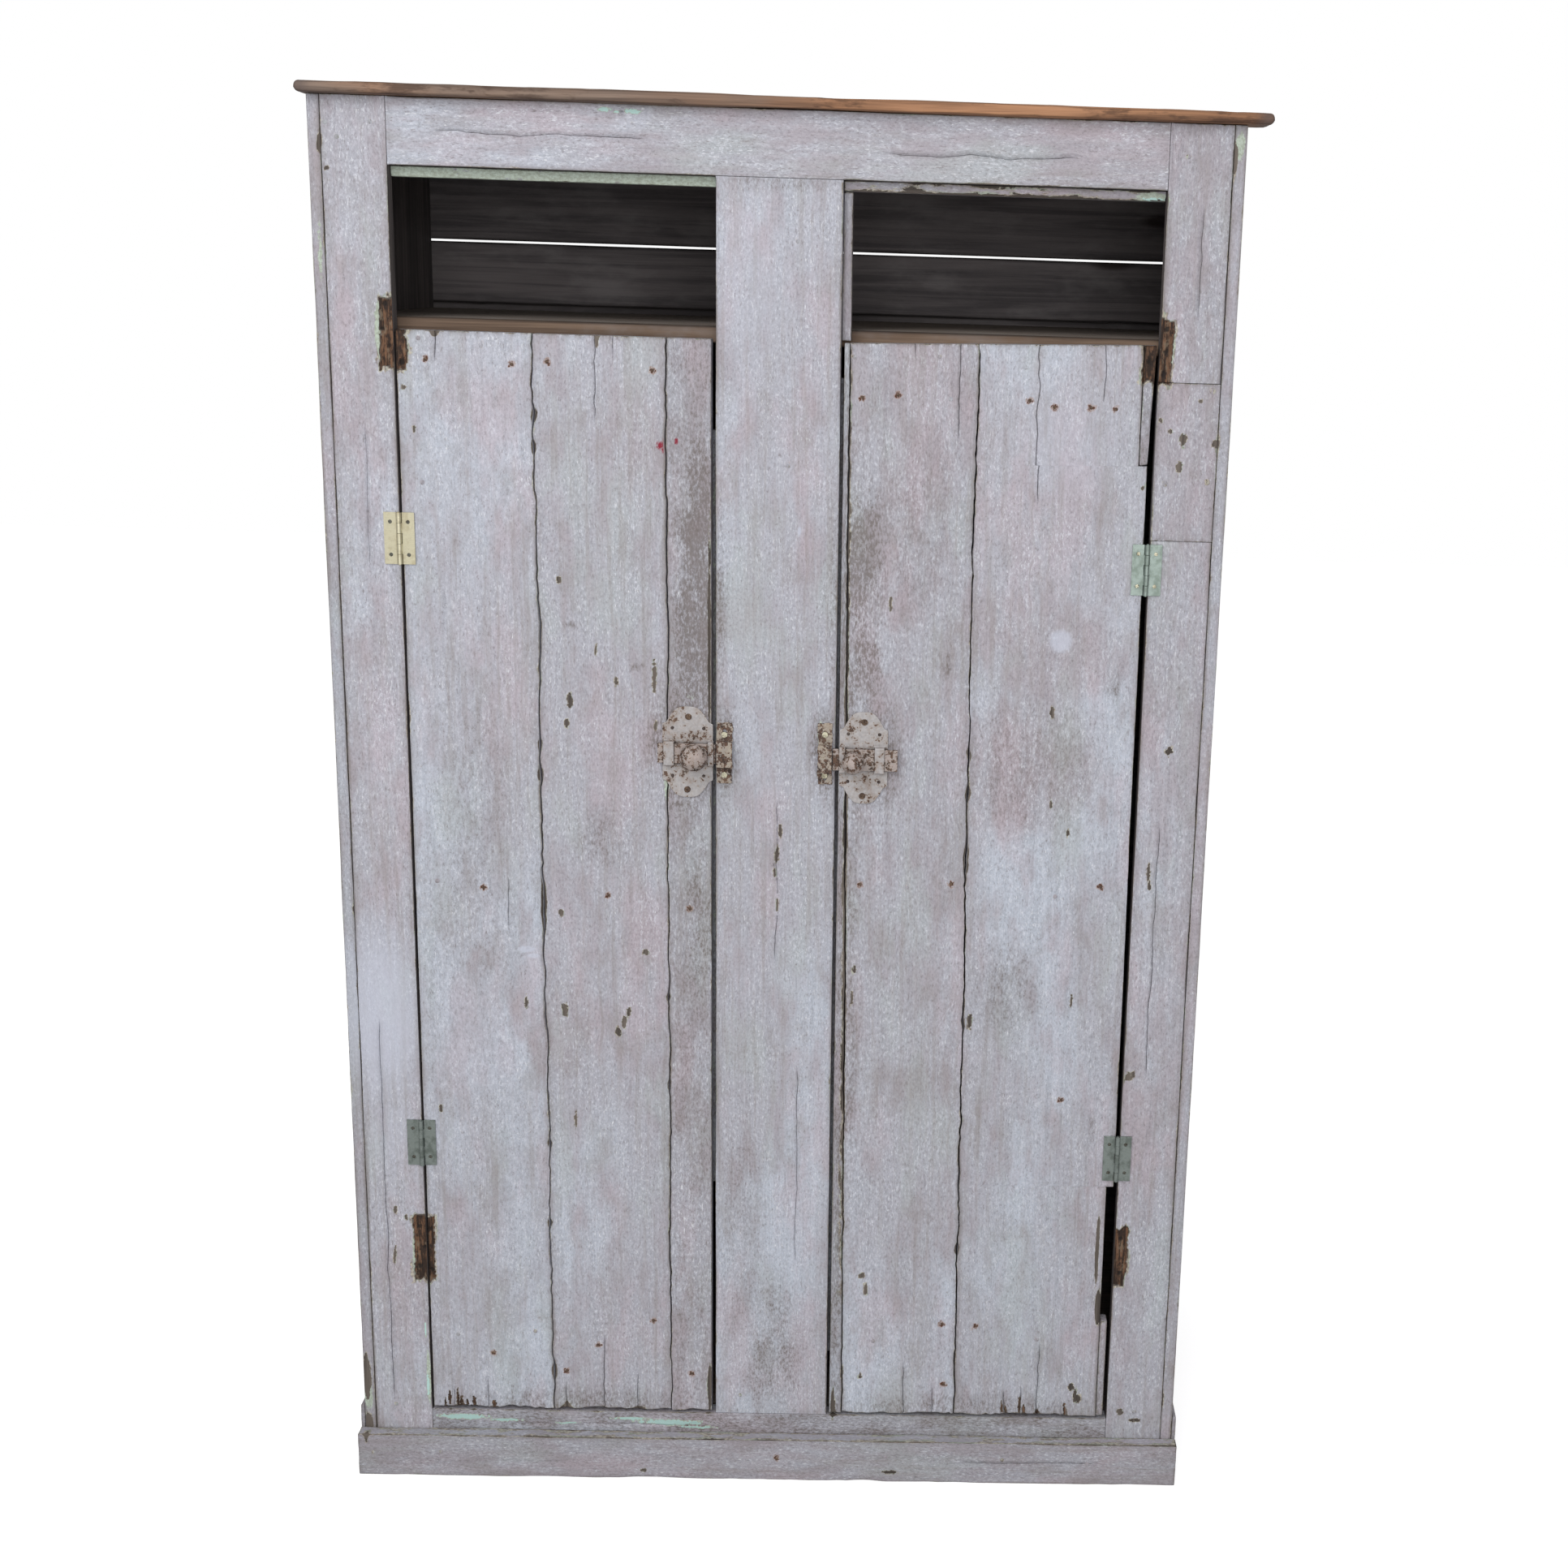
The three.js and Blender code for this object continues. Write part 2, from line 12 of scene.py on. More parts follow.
import bmesh
import bpy
import numpy as np
from mathutils import Matrix, Vector

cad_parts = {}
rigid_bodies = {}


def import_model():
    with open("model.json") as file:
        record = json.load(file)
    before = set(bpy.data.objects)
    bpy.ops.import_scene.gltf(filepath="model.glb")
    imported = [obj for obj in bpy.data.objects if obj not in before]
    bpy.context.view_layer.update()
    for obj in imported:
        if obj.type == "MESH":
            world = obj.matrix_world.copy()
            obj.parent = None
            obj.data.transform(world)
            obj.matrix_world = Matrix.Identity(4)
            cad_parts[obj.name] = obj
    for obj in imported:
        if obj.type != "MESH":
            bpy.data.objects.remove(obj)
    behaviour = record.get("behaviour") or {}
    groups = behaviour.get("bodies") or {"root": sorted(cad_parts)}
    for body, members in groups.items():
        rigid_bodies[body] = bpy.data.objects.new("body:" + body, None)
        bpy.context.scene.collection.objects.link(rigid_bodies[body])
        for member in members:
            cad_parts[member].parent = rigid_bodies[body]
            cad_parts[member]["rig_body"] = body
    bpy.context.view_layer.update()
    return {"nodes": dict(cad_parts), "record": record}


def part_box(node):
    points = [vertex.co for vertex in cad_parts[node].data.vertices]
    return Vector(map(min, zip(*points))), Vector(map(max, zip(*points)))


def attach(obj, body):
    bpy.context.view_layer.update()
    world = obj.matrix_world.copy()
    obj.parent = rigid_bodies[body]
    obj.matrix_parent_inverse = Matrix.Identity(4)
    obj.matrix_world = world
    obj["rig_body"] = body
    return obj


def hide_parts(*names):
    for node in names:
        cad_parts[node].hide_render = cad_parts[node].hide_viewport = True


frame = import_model()

MM = 0.001
X, Y, Z = 0, 1, 2

stile_low, stile_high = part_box("centre_stile")
MIDDLE_X = (stile_low.x + stile_high.x) / 2
FACE_Y = stile_low.y
ORIGIN = (MIDDLE_X, 0, 0)


# ---- random fields ------------------------------------------------------------------------------

def lattice(ix, iy, iz, seed):
    """A repeatable value from -1 to 1 for each whole-number place."""
    mask = np.int64(0xFFFFFFFF)
    h = (ix * 374761393 + iy * 668265263 + iz * 1274126177 + seed * 362437) & mask
    h = ((h ^ (h >> 13)) * 1103515245) & mask
    h = ((h ^ (h >> 15)) * 668265263) & mask
    return ((h >> 8) & 0xFFFF) / 32767.5 - 1.0


def noise(points, scale, seed):
    """Smooth noise from -1 to 1. scale is cells per metre, one number or one per axis."""
    q = points * np.asarray(scale, float)
    cell = np.floor(q).astype(np.int64)
    f = q - cell
    f = f * f * (3 - 2 * f)
    total = np.zeros(len(q))
    for dx in (0, 1):
        for dy in (0, 1):
            for dz in (0, 1):
                weight = (
                    np.where(dx, f[:, 0], 1 - f[:, 0])
                    * np.where(dy, f[:, 1], 1 - f[:, 1])
                    * np.where(dz, f[:, 2], 1 - f[:, 2])
                )
                total += weight * lattice(cell[:, 0] + dx, cell[:, 1] + dy, cell[:, 2] + dz, seed)
    return total


def smooth(low, high, value):
    """0 below low, 1 above high, smooth between."""
    t = np.clip((value - low) / (high - low), 0, 1)
    return t * t * (3 - 2 * t)


def bump_at(value, centre, reach):
    """1 at centre, falling smoothly to 0 at reach away."""
    return 1 - smooth(0, 1, np.abs(value - centre) / reach)


# ---- what happened to the front -----------------------------------------------------------------

# Old hinge places: bare recesses, x and z ranges
SCARS = [
    ((-450.0, -419.0), (1394, 1477)),
    ((-450.5, -422.5), (264, 351)),
    ((414.5, 449.0), (1406, 1476)),
    ((429.0, 450.5), (273, 354)),
]
SCAR_DEPTH = 1.8
SCAR_HOLES = [
    (-443, 1468, 2.6), (-425, 1404, 3.0), (-440, 1421, 2.0), (-446, 1440, 2.0), (-443, 338, 3.0),
    (-443, 283, 3.0), (-428, 279, 2.6), (-428, 335, 3.2), (-436, 310, 2.0), (441, 1466, 3.0),
    (441, 1441, 2.8), (440, 1416, 3.0), (424, 1430, 3.6), (442, 338, 2.8), (442, 290, 2.4),
]

# Mint-green old paint showing: centre and half sizes
MINT_SPOTS = [
    ((-437, 130), (3.5, 50)), ((-448, 1440), (8, 42)), ((-448, 300), (5, 42)),
    ((446, 1448), (6, 34)), ((420, 1609), (26, 9)), ((-100, 1029), (12, 9), 0.5),
    ((-130, 925), (5, 30)), ((55, 985), (6, 22)), ((-515, 100), (7, 26)),
    ((-512, 1520), (4, 50), 0.75), ((512, 1668), (7, 22)),
]

# Mint paint with sharper outlines: x, z, half sizes
MINT_MARKS = [
    (-193, 1684, 7, 2.6), (-180, 1682, 3, 1.6), (-163, 1683, 10, 3.0), (-396, 74, 34, 3.6),
    (-340, 70, 20, 2.2), (-180, 74, 24, 2.4), (-130, 70, 46, 4.2), (-95, 64, 24, 2.0),
    (-262, 66, 16, 1.6), (420, 1608, 14, 2.6), (-438.5, 118, 1.9, 17), (-439, 196, 1.3, 14),
]

# Dirt rubbed in by hands and rain: centre, half sizes, strength
GRIME_SPOTS = [
    ((-104, 960), (55, 100), 0.7), ((-91, 1150), (31, 190), 1.15), ((94, 1140), (36, 190), 0.8),
    ((100, 955), (55, 95), 0.7), ((-62, 960), (20, 60), 0.7), ((58, 960), (20, 60), 0.7),
    ((-92, 760), (26, 150), 0.5), ((86, 620), (20, 360), 0.5), ((0, 170), (40, 110), 0.55),
    ((-250, 92), (190, 26), 0.5), ((250, 92), (190, 26), 0.5), ((288, 667), (40, 60), 0.35),
    ((-370, 700), (60, 260), 0.2), ((0, 1612), (75, 10), 0.35), ((-40, 340), (30, 200), 0.25),
    ((-350, 900), (50, 120), 0.2), ((-200, 850), (40, 40), 0.35), ((160, 1230), (50, 120), 0.25),
    ((-80, 110), (6, 40), 0.7), ((201, 1070), (4, 16), 0.8), ((400, 1050), (5, 18), 0.7),
    ((300, 950), (90, 90), 0.3), ((-238, 1108), (8, 4), 0.8), ((-164, 1061), (7, 5), 0.8),
    ((399, 489), (5, 20), 0.5),
]

# Paint gone, wood showing: centre and half sizes
BARE_SPOTS = [
    ((-262, 92), (4, 7)), ((-170, 89), (9, 4)), ((-515, 130), (5, 40)), ((-515, 60), (5, 20)),
    ((-387, 1438), (2, 6)), ((-205, 1434), (3, 10)), ((-189, 1432), (2, 6)),
    ((-181, 1434), (2, 7)), ((-79, 118), (2.5, 40)), ((-79, 1100), (2, 120)),
    ((508, 1655), (3, 18)), ((470, 82), (10, 5)), ((416, 240), (4, 30)), ((412, 320), (3, 60)),
    ((80, 100), (3, 30)), ((84, 700), (5, 640), 0.42), ((84, 1250), (4, 160), 0.35),
    ((230, 1610), (230, 9), 0.42),
]

# Small chips and scratches: centre, half sizes
CHIPS = [
    (-253, 1160, 2.5, 4), (-187, 1042, 2, 6), (-242, 1018, 3.5, 10), (-247, 990, 3, 6),
    (-210, 1080, 1.6, 7), (-143, 1048, 2.5, 19), (-142, 989, 1.6, 6), (-424, 1376, 2.2, 2.2),
    (-255, 630, 3.6, 9), (-190, 604, 3.4, 7), (-183, 616, 2.8, 8), (-177, 630, 2.6, 6),
    (-244, 487, 1.8, 12), (-156, 708, 3.5, 4), (-258, 755, 3, 4), (-410, 499, 2.2, 5),
    (6, 863, 2.4, 8), (2, 836, 2.4, 11), (0, 813, 1.8, 6), (2, 772, 1.6, 9), (327, 1018, 2.2, 9),
    (469, 975, 4, 6), (422, 1286, 2, 2), (439, 1364, 2.4, 2.4), (466, 1342, 4, 7),
    (451, 1352, 2.4, 2.4), (463, 1311, 3.4, 6), (484, 1387, 2.2, 2.2), (504, 1339, 4, 4),
    (440, 558, 5, 5), (446, 562, 2.4, 4), (241, 626, 3, 10), (365, 657, 1.6, 8),
    (396, 113, 3.6, 6), (387, 129, 3.4, 6), (392, 118, 2.4, 9), (115, 282, 3, 4),
    (120, 262, 1.4, 8), (-471, 361, 2, 5), (-458, 351, 2, 4), (-473, 300, 1.6, 12),
    (452, 824, 1.8, 9), (454, 806, 1.4, 6), (113, 141, 3.4, 4), (-507, 1640, 2.4, 7),
    (-500, 1612, 3, 2), (452, 94, 5, 5), (-162, 12, 5, 2.4), (155, 14, 10, 2.2),
    (-414, 1330, 1.8, 4), (133, 1142, 1.6, 9), (95, 655, 1.6, 9), (98, 690, 1.6, 5),
    (330, 905, 1.4, 6), (352, 870, 1.6, 5), (-302, 640, 1.4, 8),
]

CHIP_RIMS = [(x, z, half_x + 1.6, half_z + 1.6) for x, z, half_x, half_z in CHIPS]

# Narrow splinters torn from the doors' lower ends: x, z, half sizes
SPLINTERS = [
    (-417, 94, 1.6, 7), (-411, 99, 1.9, 13), (-401, 100, 1.9, 14), (-396, 95, 2.6, 9),
    (-389, 93, 1.6, 6), (-380, 94, 2.4, 10), (-355, 92, 3.0, 5), (299, 97, 2.0, 11),
    (304, 94, 1.6, 7), (321, 103, 2.0, 13), (327, 95, 1.6, 8), (345, 92, 2.6, 5),
    (380, 96, 2.0, 11),
]

# Where a board edge beside a joint is broken away: joint, height, half length, size
EDGE_CHIPS = [
    (-277.7, 1349, 12, 5), (-277.7, 1313, 9, 4.5), (-277.7, 1100, 60, 2.4), (-277.7, 964, 9, 4.5),
    (-277.7, 927, 13, 4.5), (-277.7, 768, 62, 4.0), (-277.7, 620, 30, 2.4), (-277.7, 454, 9, 4.5),
    (-277.7, 346, 8, 4.0), (-277.7, 300, 40, 2.2), (-277.7, 141, 14, 5.0), (-127.2, 651, 7, 4.0),
    (-127.2, 535, 7, 4.0), (-127.2, 1240, 60, 1.8), (232, 966, 10, 4.5), (232, 917, 12, 4.5),
    (232, 836, 26, 5.0), (232, 626, 12, 3.5), (232, 321, 9, 5.0), (232, 1230, 30, 2.2),
    (232, 420, 40, 2.0), (86, 1300, 60, 1.6), (86, 860, 50, 2.0), (86, 530, 4, 4.0),
]

RED_PAINT = [(-134, 1319, 5, 4), (-130, 1313, 4, 3), (-116, 1324, 2.2, 4)]
PALE_AREAS = [
    ((-480, 620), (50, 120), 0.95), ((-470, 470), (30, 60), 0.4), ((-370, 600), (50, 90), 0.3),
    ((330, 1330), (60, 60), 0.3), ((-30, 1500), (40, 100), 0.25),
]
PALE_SPOTS = [(334, 1104, 13.5, 13.5), (26, 1225, 2.5, 5), (-300, 708, 11, 4), (-292, 700, 8, 3)]
MAUVE_SPOTS = [
    ((300, 950), (90, 90)), ((330, 1090), (85, 62)), ((250, 1120), (50, 50)),
    ((-250, 600), (50, 70)), ((-160, 720), (26, 60)), ((-470, 250), (45, 90)),
    ((-160, 1330), (45, 90)), ((160, 1300), (60, 90)),
]

# Nails rusting through the paint, and heads that the paint still covers
RUSTED_NAILS = [
    (-302, 1405), (-262, 1409), (-143, 1403), (-350, 785), (-200, 779), (-102, 764), (-354, 165),
    (-221, 178), (-261, 141), (-102, 140), (-150, 214), (96, 1380), (137, 1384), (288, 1382),
    (316, 1375), (358, 1376), (387, 1375), (213, 803), (395, 803), (103, 800), (218, 216),
    (261, 214), (222, 130), (9, 31), (-399, 1408), (358, 526),
]
PAINTED_NAILS = [
    (-406, 1431), (-336, 1425), (197, 1381), (183, 1428), (-407, 1269), (-398, 190), (-300, 196),
    (-405, 792), (160, 797), (340, 790), (130, 190), (340, 196), (21, 1550), (30, 90), (-40, 110),
    (12, 1300), (-500, 1661), (-451, 1663), (-488, 1646), (455, 1655), (490, 1640), (-480, 90),
    (470, 95), (-420, 34), (150, 36), (410, 30), (86, 1425), (-506, 32), (300, 34),
]
NAIL_HALO = 4.6

# Screws under the paint that hold the let-in patch
PATCH_SCREWS = [(447, 1292), (496, 1295), (445, 1229), (497, 1399)]

# Joints that the paint bridges: x and z ranges
SEALED = [
    ((-437, -431), (1618, 1691)), ((431, 437), (1618, 1691)), ((-71, 71), (1615, 1621)),
    ((-71, 71), (81, 87)), ((-437, -431), (52, 84)), ((431, 437), (52, 84)),
]

# Joints between the boards of the doors, which wander together, and how far from them it shows
WANDERING = {-277.7: 42, -127.2: 42, 86.0: 12, 232.0: 42}
JOINT_REACH = 14


def front_place(points):
    """Places on the front, in mm, of points in the row frame."""
    return (points[:, X] - MIDDLE_X) / MM, points[:, Z] / MM


def flat_place(x, z):
    """Points for a noise that only changes over the front."""
    return np.stack([x * MM, np.zeros(len(x)), z * MM], 1)


def spots(x, z, rows):
    """Soft spots. rows are (centre, half sizes) and a strength where it isn't 1."""
    total = np.zeros(len(x))
    for (px, pz), (half_x, half_z), *strength in rows:
        distance = np.hypot((x - px) / half_x, (z - pz) / half_z)
        most = strength[0] if strength else 1.0
        total = np.maximum(total, most * (1 - smooth(0.35, 1.35, distance)))
    return total


def box_mask(x, z, xs, zs, soft):
    """1 inside the box, 0 outside, over a soft edge that ends at the box."""
    across = smooth(xs[0], xs[0] + soft, x) * (1 - smooth(xs[1] - soft, xs[1], x))
    upward = smooth(zs[0], zs[0] + soft, z) * (1 - smooth(zs[1] - soft, zs[1], z))
    return across * upward


def scar_mask(x, z, soft, grow=0.0, ragged=0.0):
    """The old hinge places. ragged moves their edges about, in mm."""
    places = flat_place(x, z)
    across = x + ragged * (noise(places, (90, 1, 60), 71) + 0.6 * noise(places, 300, 72))
    upward = z + 2 * ragged * (noise(places, (130, 1, 60), 73) + 0.5 * noise(places, 360, 74))
    total = np.zeros(len(x))
    for xs, zs in SCARS:
        wide, tall = (xs[0] - grow, xs[1] + grow), (zs[0] - grow, zs[1] + grow)
        total = np.maximum(total, box_mask(across, upward, wide, tall, soft))
    return total


def marks(x, z, rows, ragged=1.0):
    """Small marks with ragged outlines. rows are x, z, half width and half height."""
    places = flat_place(x, z)
    wobble = ragged * (0.32 * noise(places, 420, 81) + 0.22 * noise(places, 900, 82))
    total = np.zeros(len(x))
    for px, pz, half_x, half_z in rows:
        near = (np.abs(x - px) < 2 * half_x) & (np.abs(z - pz) < 2 * half_z)
        distance = np.hypot((x[near] - px) / half_x, (z[near] - pz) / half_z)
        total[near] = np.maximum(total[near], 1 - smooth(0.7, 1.25, distance + wobble[near]))
    return total


def nail_rows(places, reach):
    return [(x, z, reach, reach) for x, z in places]


def wander(x, z):
    """Sideways shift in mm, so that the joints between door boards aren't ruled lines."""
    shift = np.zeros(len(x))
    for i, (joint, reach) in enumerate(WANDERING.items()):
        run = np.stack([z * MM, np.full(len(z), 0.37 * i), np.zeros(len(z))], 1)
        sway = 1.5 * noise(run, (9, 1, 1), 61) + 1.2 * noise(run, (40, 1, 1), 62)
        sway += 0.9 * noise(run, (110, 1, 1), 63)
        shift += sway * bump_at(x, joint, reach)
    return shift


# ---- boards -------------------------------------------------------------------------------------

# Grid lines near a board's edges, and the least gap between two, in mm
EDGE_LINES = (0.7, 1.6, 3.0, 5.0)
CLOSEST_LINES = 0.12


def grid_lines(low, high, step, extra=()):
    """Places of the grid lines across one side: close together at the edges, even between."""
    size = high - low
    edge = [e * MM for e in EDGE_LINES if e * MM < size * 0.4]
    inner = np.linspace(low + edge[-1], high - edge[-1], max(2, int(round(size / step)) + 1))
    near_low, near_high = [low + e for e in edge[:-1]], [high - e for e in edge[:-1]]
    lines = [low, high, *near_low, *near_high, *inner]
    lines += [e for e in extra if low + edge[0] < e < high - edge[0]]
    lines = np.array(sorted(lines))
    lines = lines[np.concatenate([[True], np.diff(lines) > CLOSEST_LINES * MM])]
    lines[-1] = high
    return lines


def quads_of(ids):
    """The quads between the points of a grid, given their numbers."""
    return np.stack([ids[:-1, :-1], ids[1:, :-1], ids[1:, 1:], ids[:-1, 1:]], -1).reshape(-1, 4)


def box_grid(lines):
    """Points and quads of a closed box, from a set of grid lines for each axis."""
    counts = [len(line) for line in lines]
    sides = []
    for axis in (X, Y, Z):
        for end in (0, -1):
            index = [slice(None)] * 3
            index[axis] = end
            sides.append((tuple(index), (end == -1) != (axis == Y)))
    surface = np.zeros(counts, bool)
    for index, _ in sides:
        surface[index] = True
    ids = np.full(counts, -1)
    ids[surface] = np.arange(surface.sum())
    points = np.stack([lines[a][i] for a, i in zip((X, Y, Z), np.nonzero(surface))], 1)
    faces = [quads_of(ids[index]) if outward else quads_of(ids[index])[:, ::-1]
             for index, outward in sides]
    return points, np.concatenate(faces)


def round_edges(points, low, high, radius):
    """Moves a box's surface points onto rounded edges. Returns them with their outward normals."""
    radius = radius[:, None]
    inner = np.clip(points, low + radius, high - radius)
    out = points - inner
    normal = out / np.maximum(np.linalg.norm(out, axis=1), 1e-9)[:, None]
    return inner + normal * radius, normal


def edge_distance(points, low, high):
    """How far each surface point is from its box's nearest edge."""
    gaps = np.concatenate([points - low, high - points], 1)
    return np.sort(gaps, 1)[:, 1]


def outline_at(node, heights):
    """Least and greatest x of a CAD board's front outline at each height."""
    mesh = frame["nodes"][node].data
    front = min(v.co.y for v in mesh.vertices) + 1e-4
    segments = []
    for edge in mesh.edges:
        a, b = (mesh.vertices[i].co for i in edge.vertices)
        if a.y < front and b.y < front and abs(a.z - b.z) > 1e-5:
            segments.append((a, b) if a.z < b.z else (b, a))
    left = np.full(len(heights), np.inf)
    right = np.full(len(heights), -np.inf)
    for a, b in segments:
        inside = (heights >= a.z - 1e-6) & (heights <= b.z + 1e-6)
        x = a.x + (b.x - a.x) * (heights - a.z) / (b.z - a.z)
        left = np.where(inside, np.minimum(left, x), left)
        right = np.where(inside, np.maximum(right, x), right)
    return left, right


def fit_to_outline(points, node, low, high):
    """Leans and notches a box's points to follow the CAD board's own outline."""
    mesh = frame["nodes"][node].data
    upper = sorted((v.co.x, v.co.z) for v in mesh.vertices if v.co.z > high[Z] - 12 * MM)
    (x0, z0), (x1, z1) = upper[0], upper[-1]
    corner = min(z0, z1) - 2e-4
    levels, where = np.unique(np.clip(points[:, Z], low[Z] + 2e-4, corner), return_inverse=True)
    left, right = outline_at(node, levels)
    share = (points[:, X] - low[X]) / (high[X] - low[X])
    points[:, X] = left[where] + share * (right[where] - left[where])
    slope = (z1 - z0) / max(x1 - x0, 1e-6)
    top = z0 + slope * (points[:, X] - x0)
    points[:, Z] = low[Z] + (points[:, Z] - low[Z]) * (top - low[Z]) / (high[Z] - low[Z])
    return points


def step_lines(node):
    """Heights where a CAD board's outline has a step, each as two close lines."""
    levels = sorted({round(v.co.z, 4) for v in frame["nodes"][node].data.vertices})
    return [z + side * 0.1 * MM for z in levels[1:-1] for side in (-1, 1)]


def feature_lines(axis, places):
    """Grid lines beside the features, in the row frame."""
    return [ORIGIN[axis] + p * MM for p in places]


def linked(obj):
    bpy.context.scene.collection.objects.link(obj)
    return obj


def set_attribute(mesh, name, values):
    data = mesh.attributes.new(name, "FLOAT_VECTOR", "POINT").data
    data.foreach_set("vector", np.asarray(values, np.float32).ravel())


def read_points(mesh, key):
    """The vertices' co or normal, as an array."""
    values = np.empty(len(mesh.vertices) * 3, np.float32)
    mesh.vertices.foreach_get(key, values)
    return values.reshape(-1, 3).astype(float)


def new_mesh_object(name, points, faces, attributes=None):
    mesh = bpy.data.meshes.new(name)
    mesh.vertices.add(len(points))
    mesh.vertices.foreach_set("co", np.asarray(points, np.float32).ravel())
    mesh.loops.add(faces.size)
    mesh.loops.foreach_set("vertex_index", faces.astype(np.int32).ravel())
    mesh.polygons.add(len(faces))
    mesh.polygons.foreach_set("loop_start", np.arange(0, faces.size, 4, dtype=np.int32))
    mesh.update(calc_edges=True)
    mesh.shade_smooth()
    for key, values in (attributes or {}).items():
        set_attribute(mesh, key, values)
    return linked(bpy.data.objects.new(name, mesh))


def body_of(node):
    return frame["nodes"][node]["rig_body"]


def slot_of(node):
    for row in frame["record"]["subparts"]:
        if row["node"] == node:
            return row["material_slot"]
    raise KeyError(node)


def stand_for(obj, node):
    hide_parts(node)
    slot_of(node)
    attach(obj, body_of(node))
    return obj


# The fine sheets over small marks, in mm: their grid step, how far they stand before the board,
# how far they reach past a mark and how far they stay from the board's edges
SKIN_STEP = 1.3
SKIN_LIFT = 0.12
SKIN_MARGIN = 5
SKIN_INSET = 2.2
SMALLEST_SKIN = 3
CRACK_DEPTH = 3.0
HOLE_DEPTH = 1.2


def at_least(values, floor):
    """Raises values to floor wherever they are below it."""
    np.maximum(values, floor, out=values)


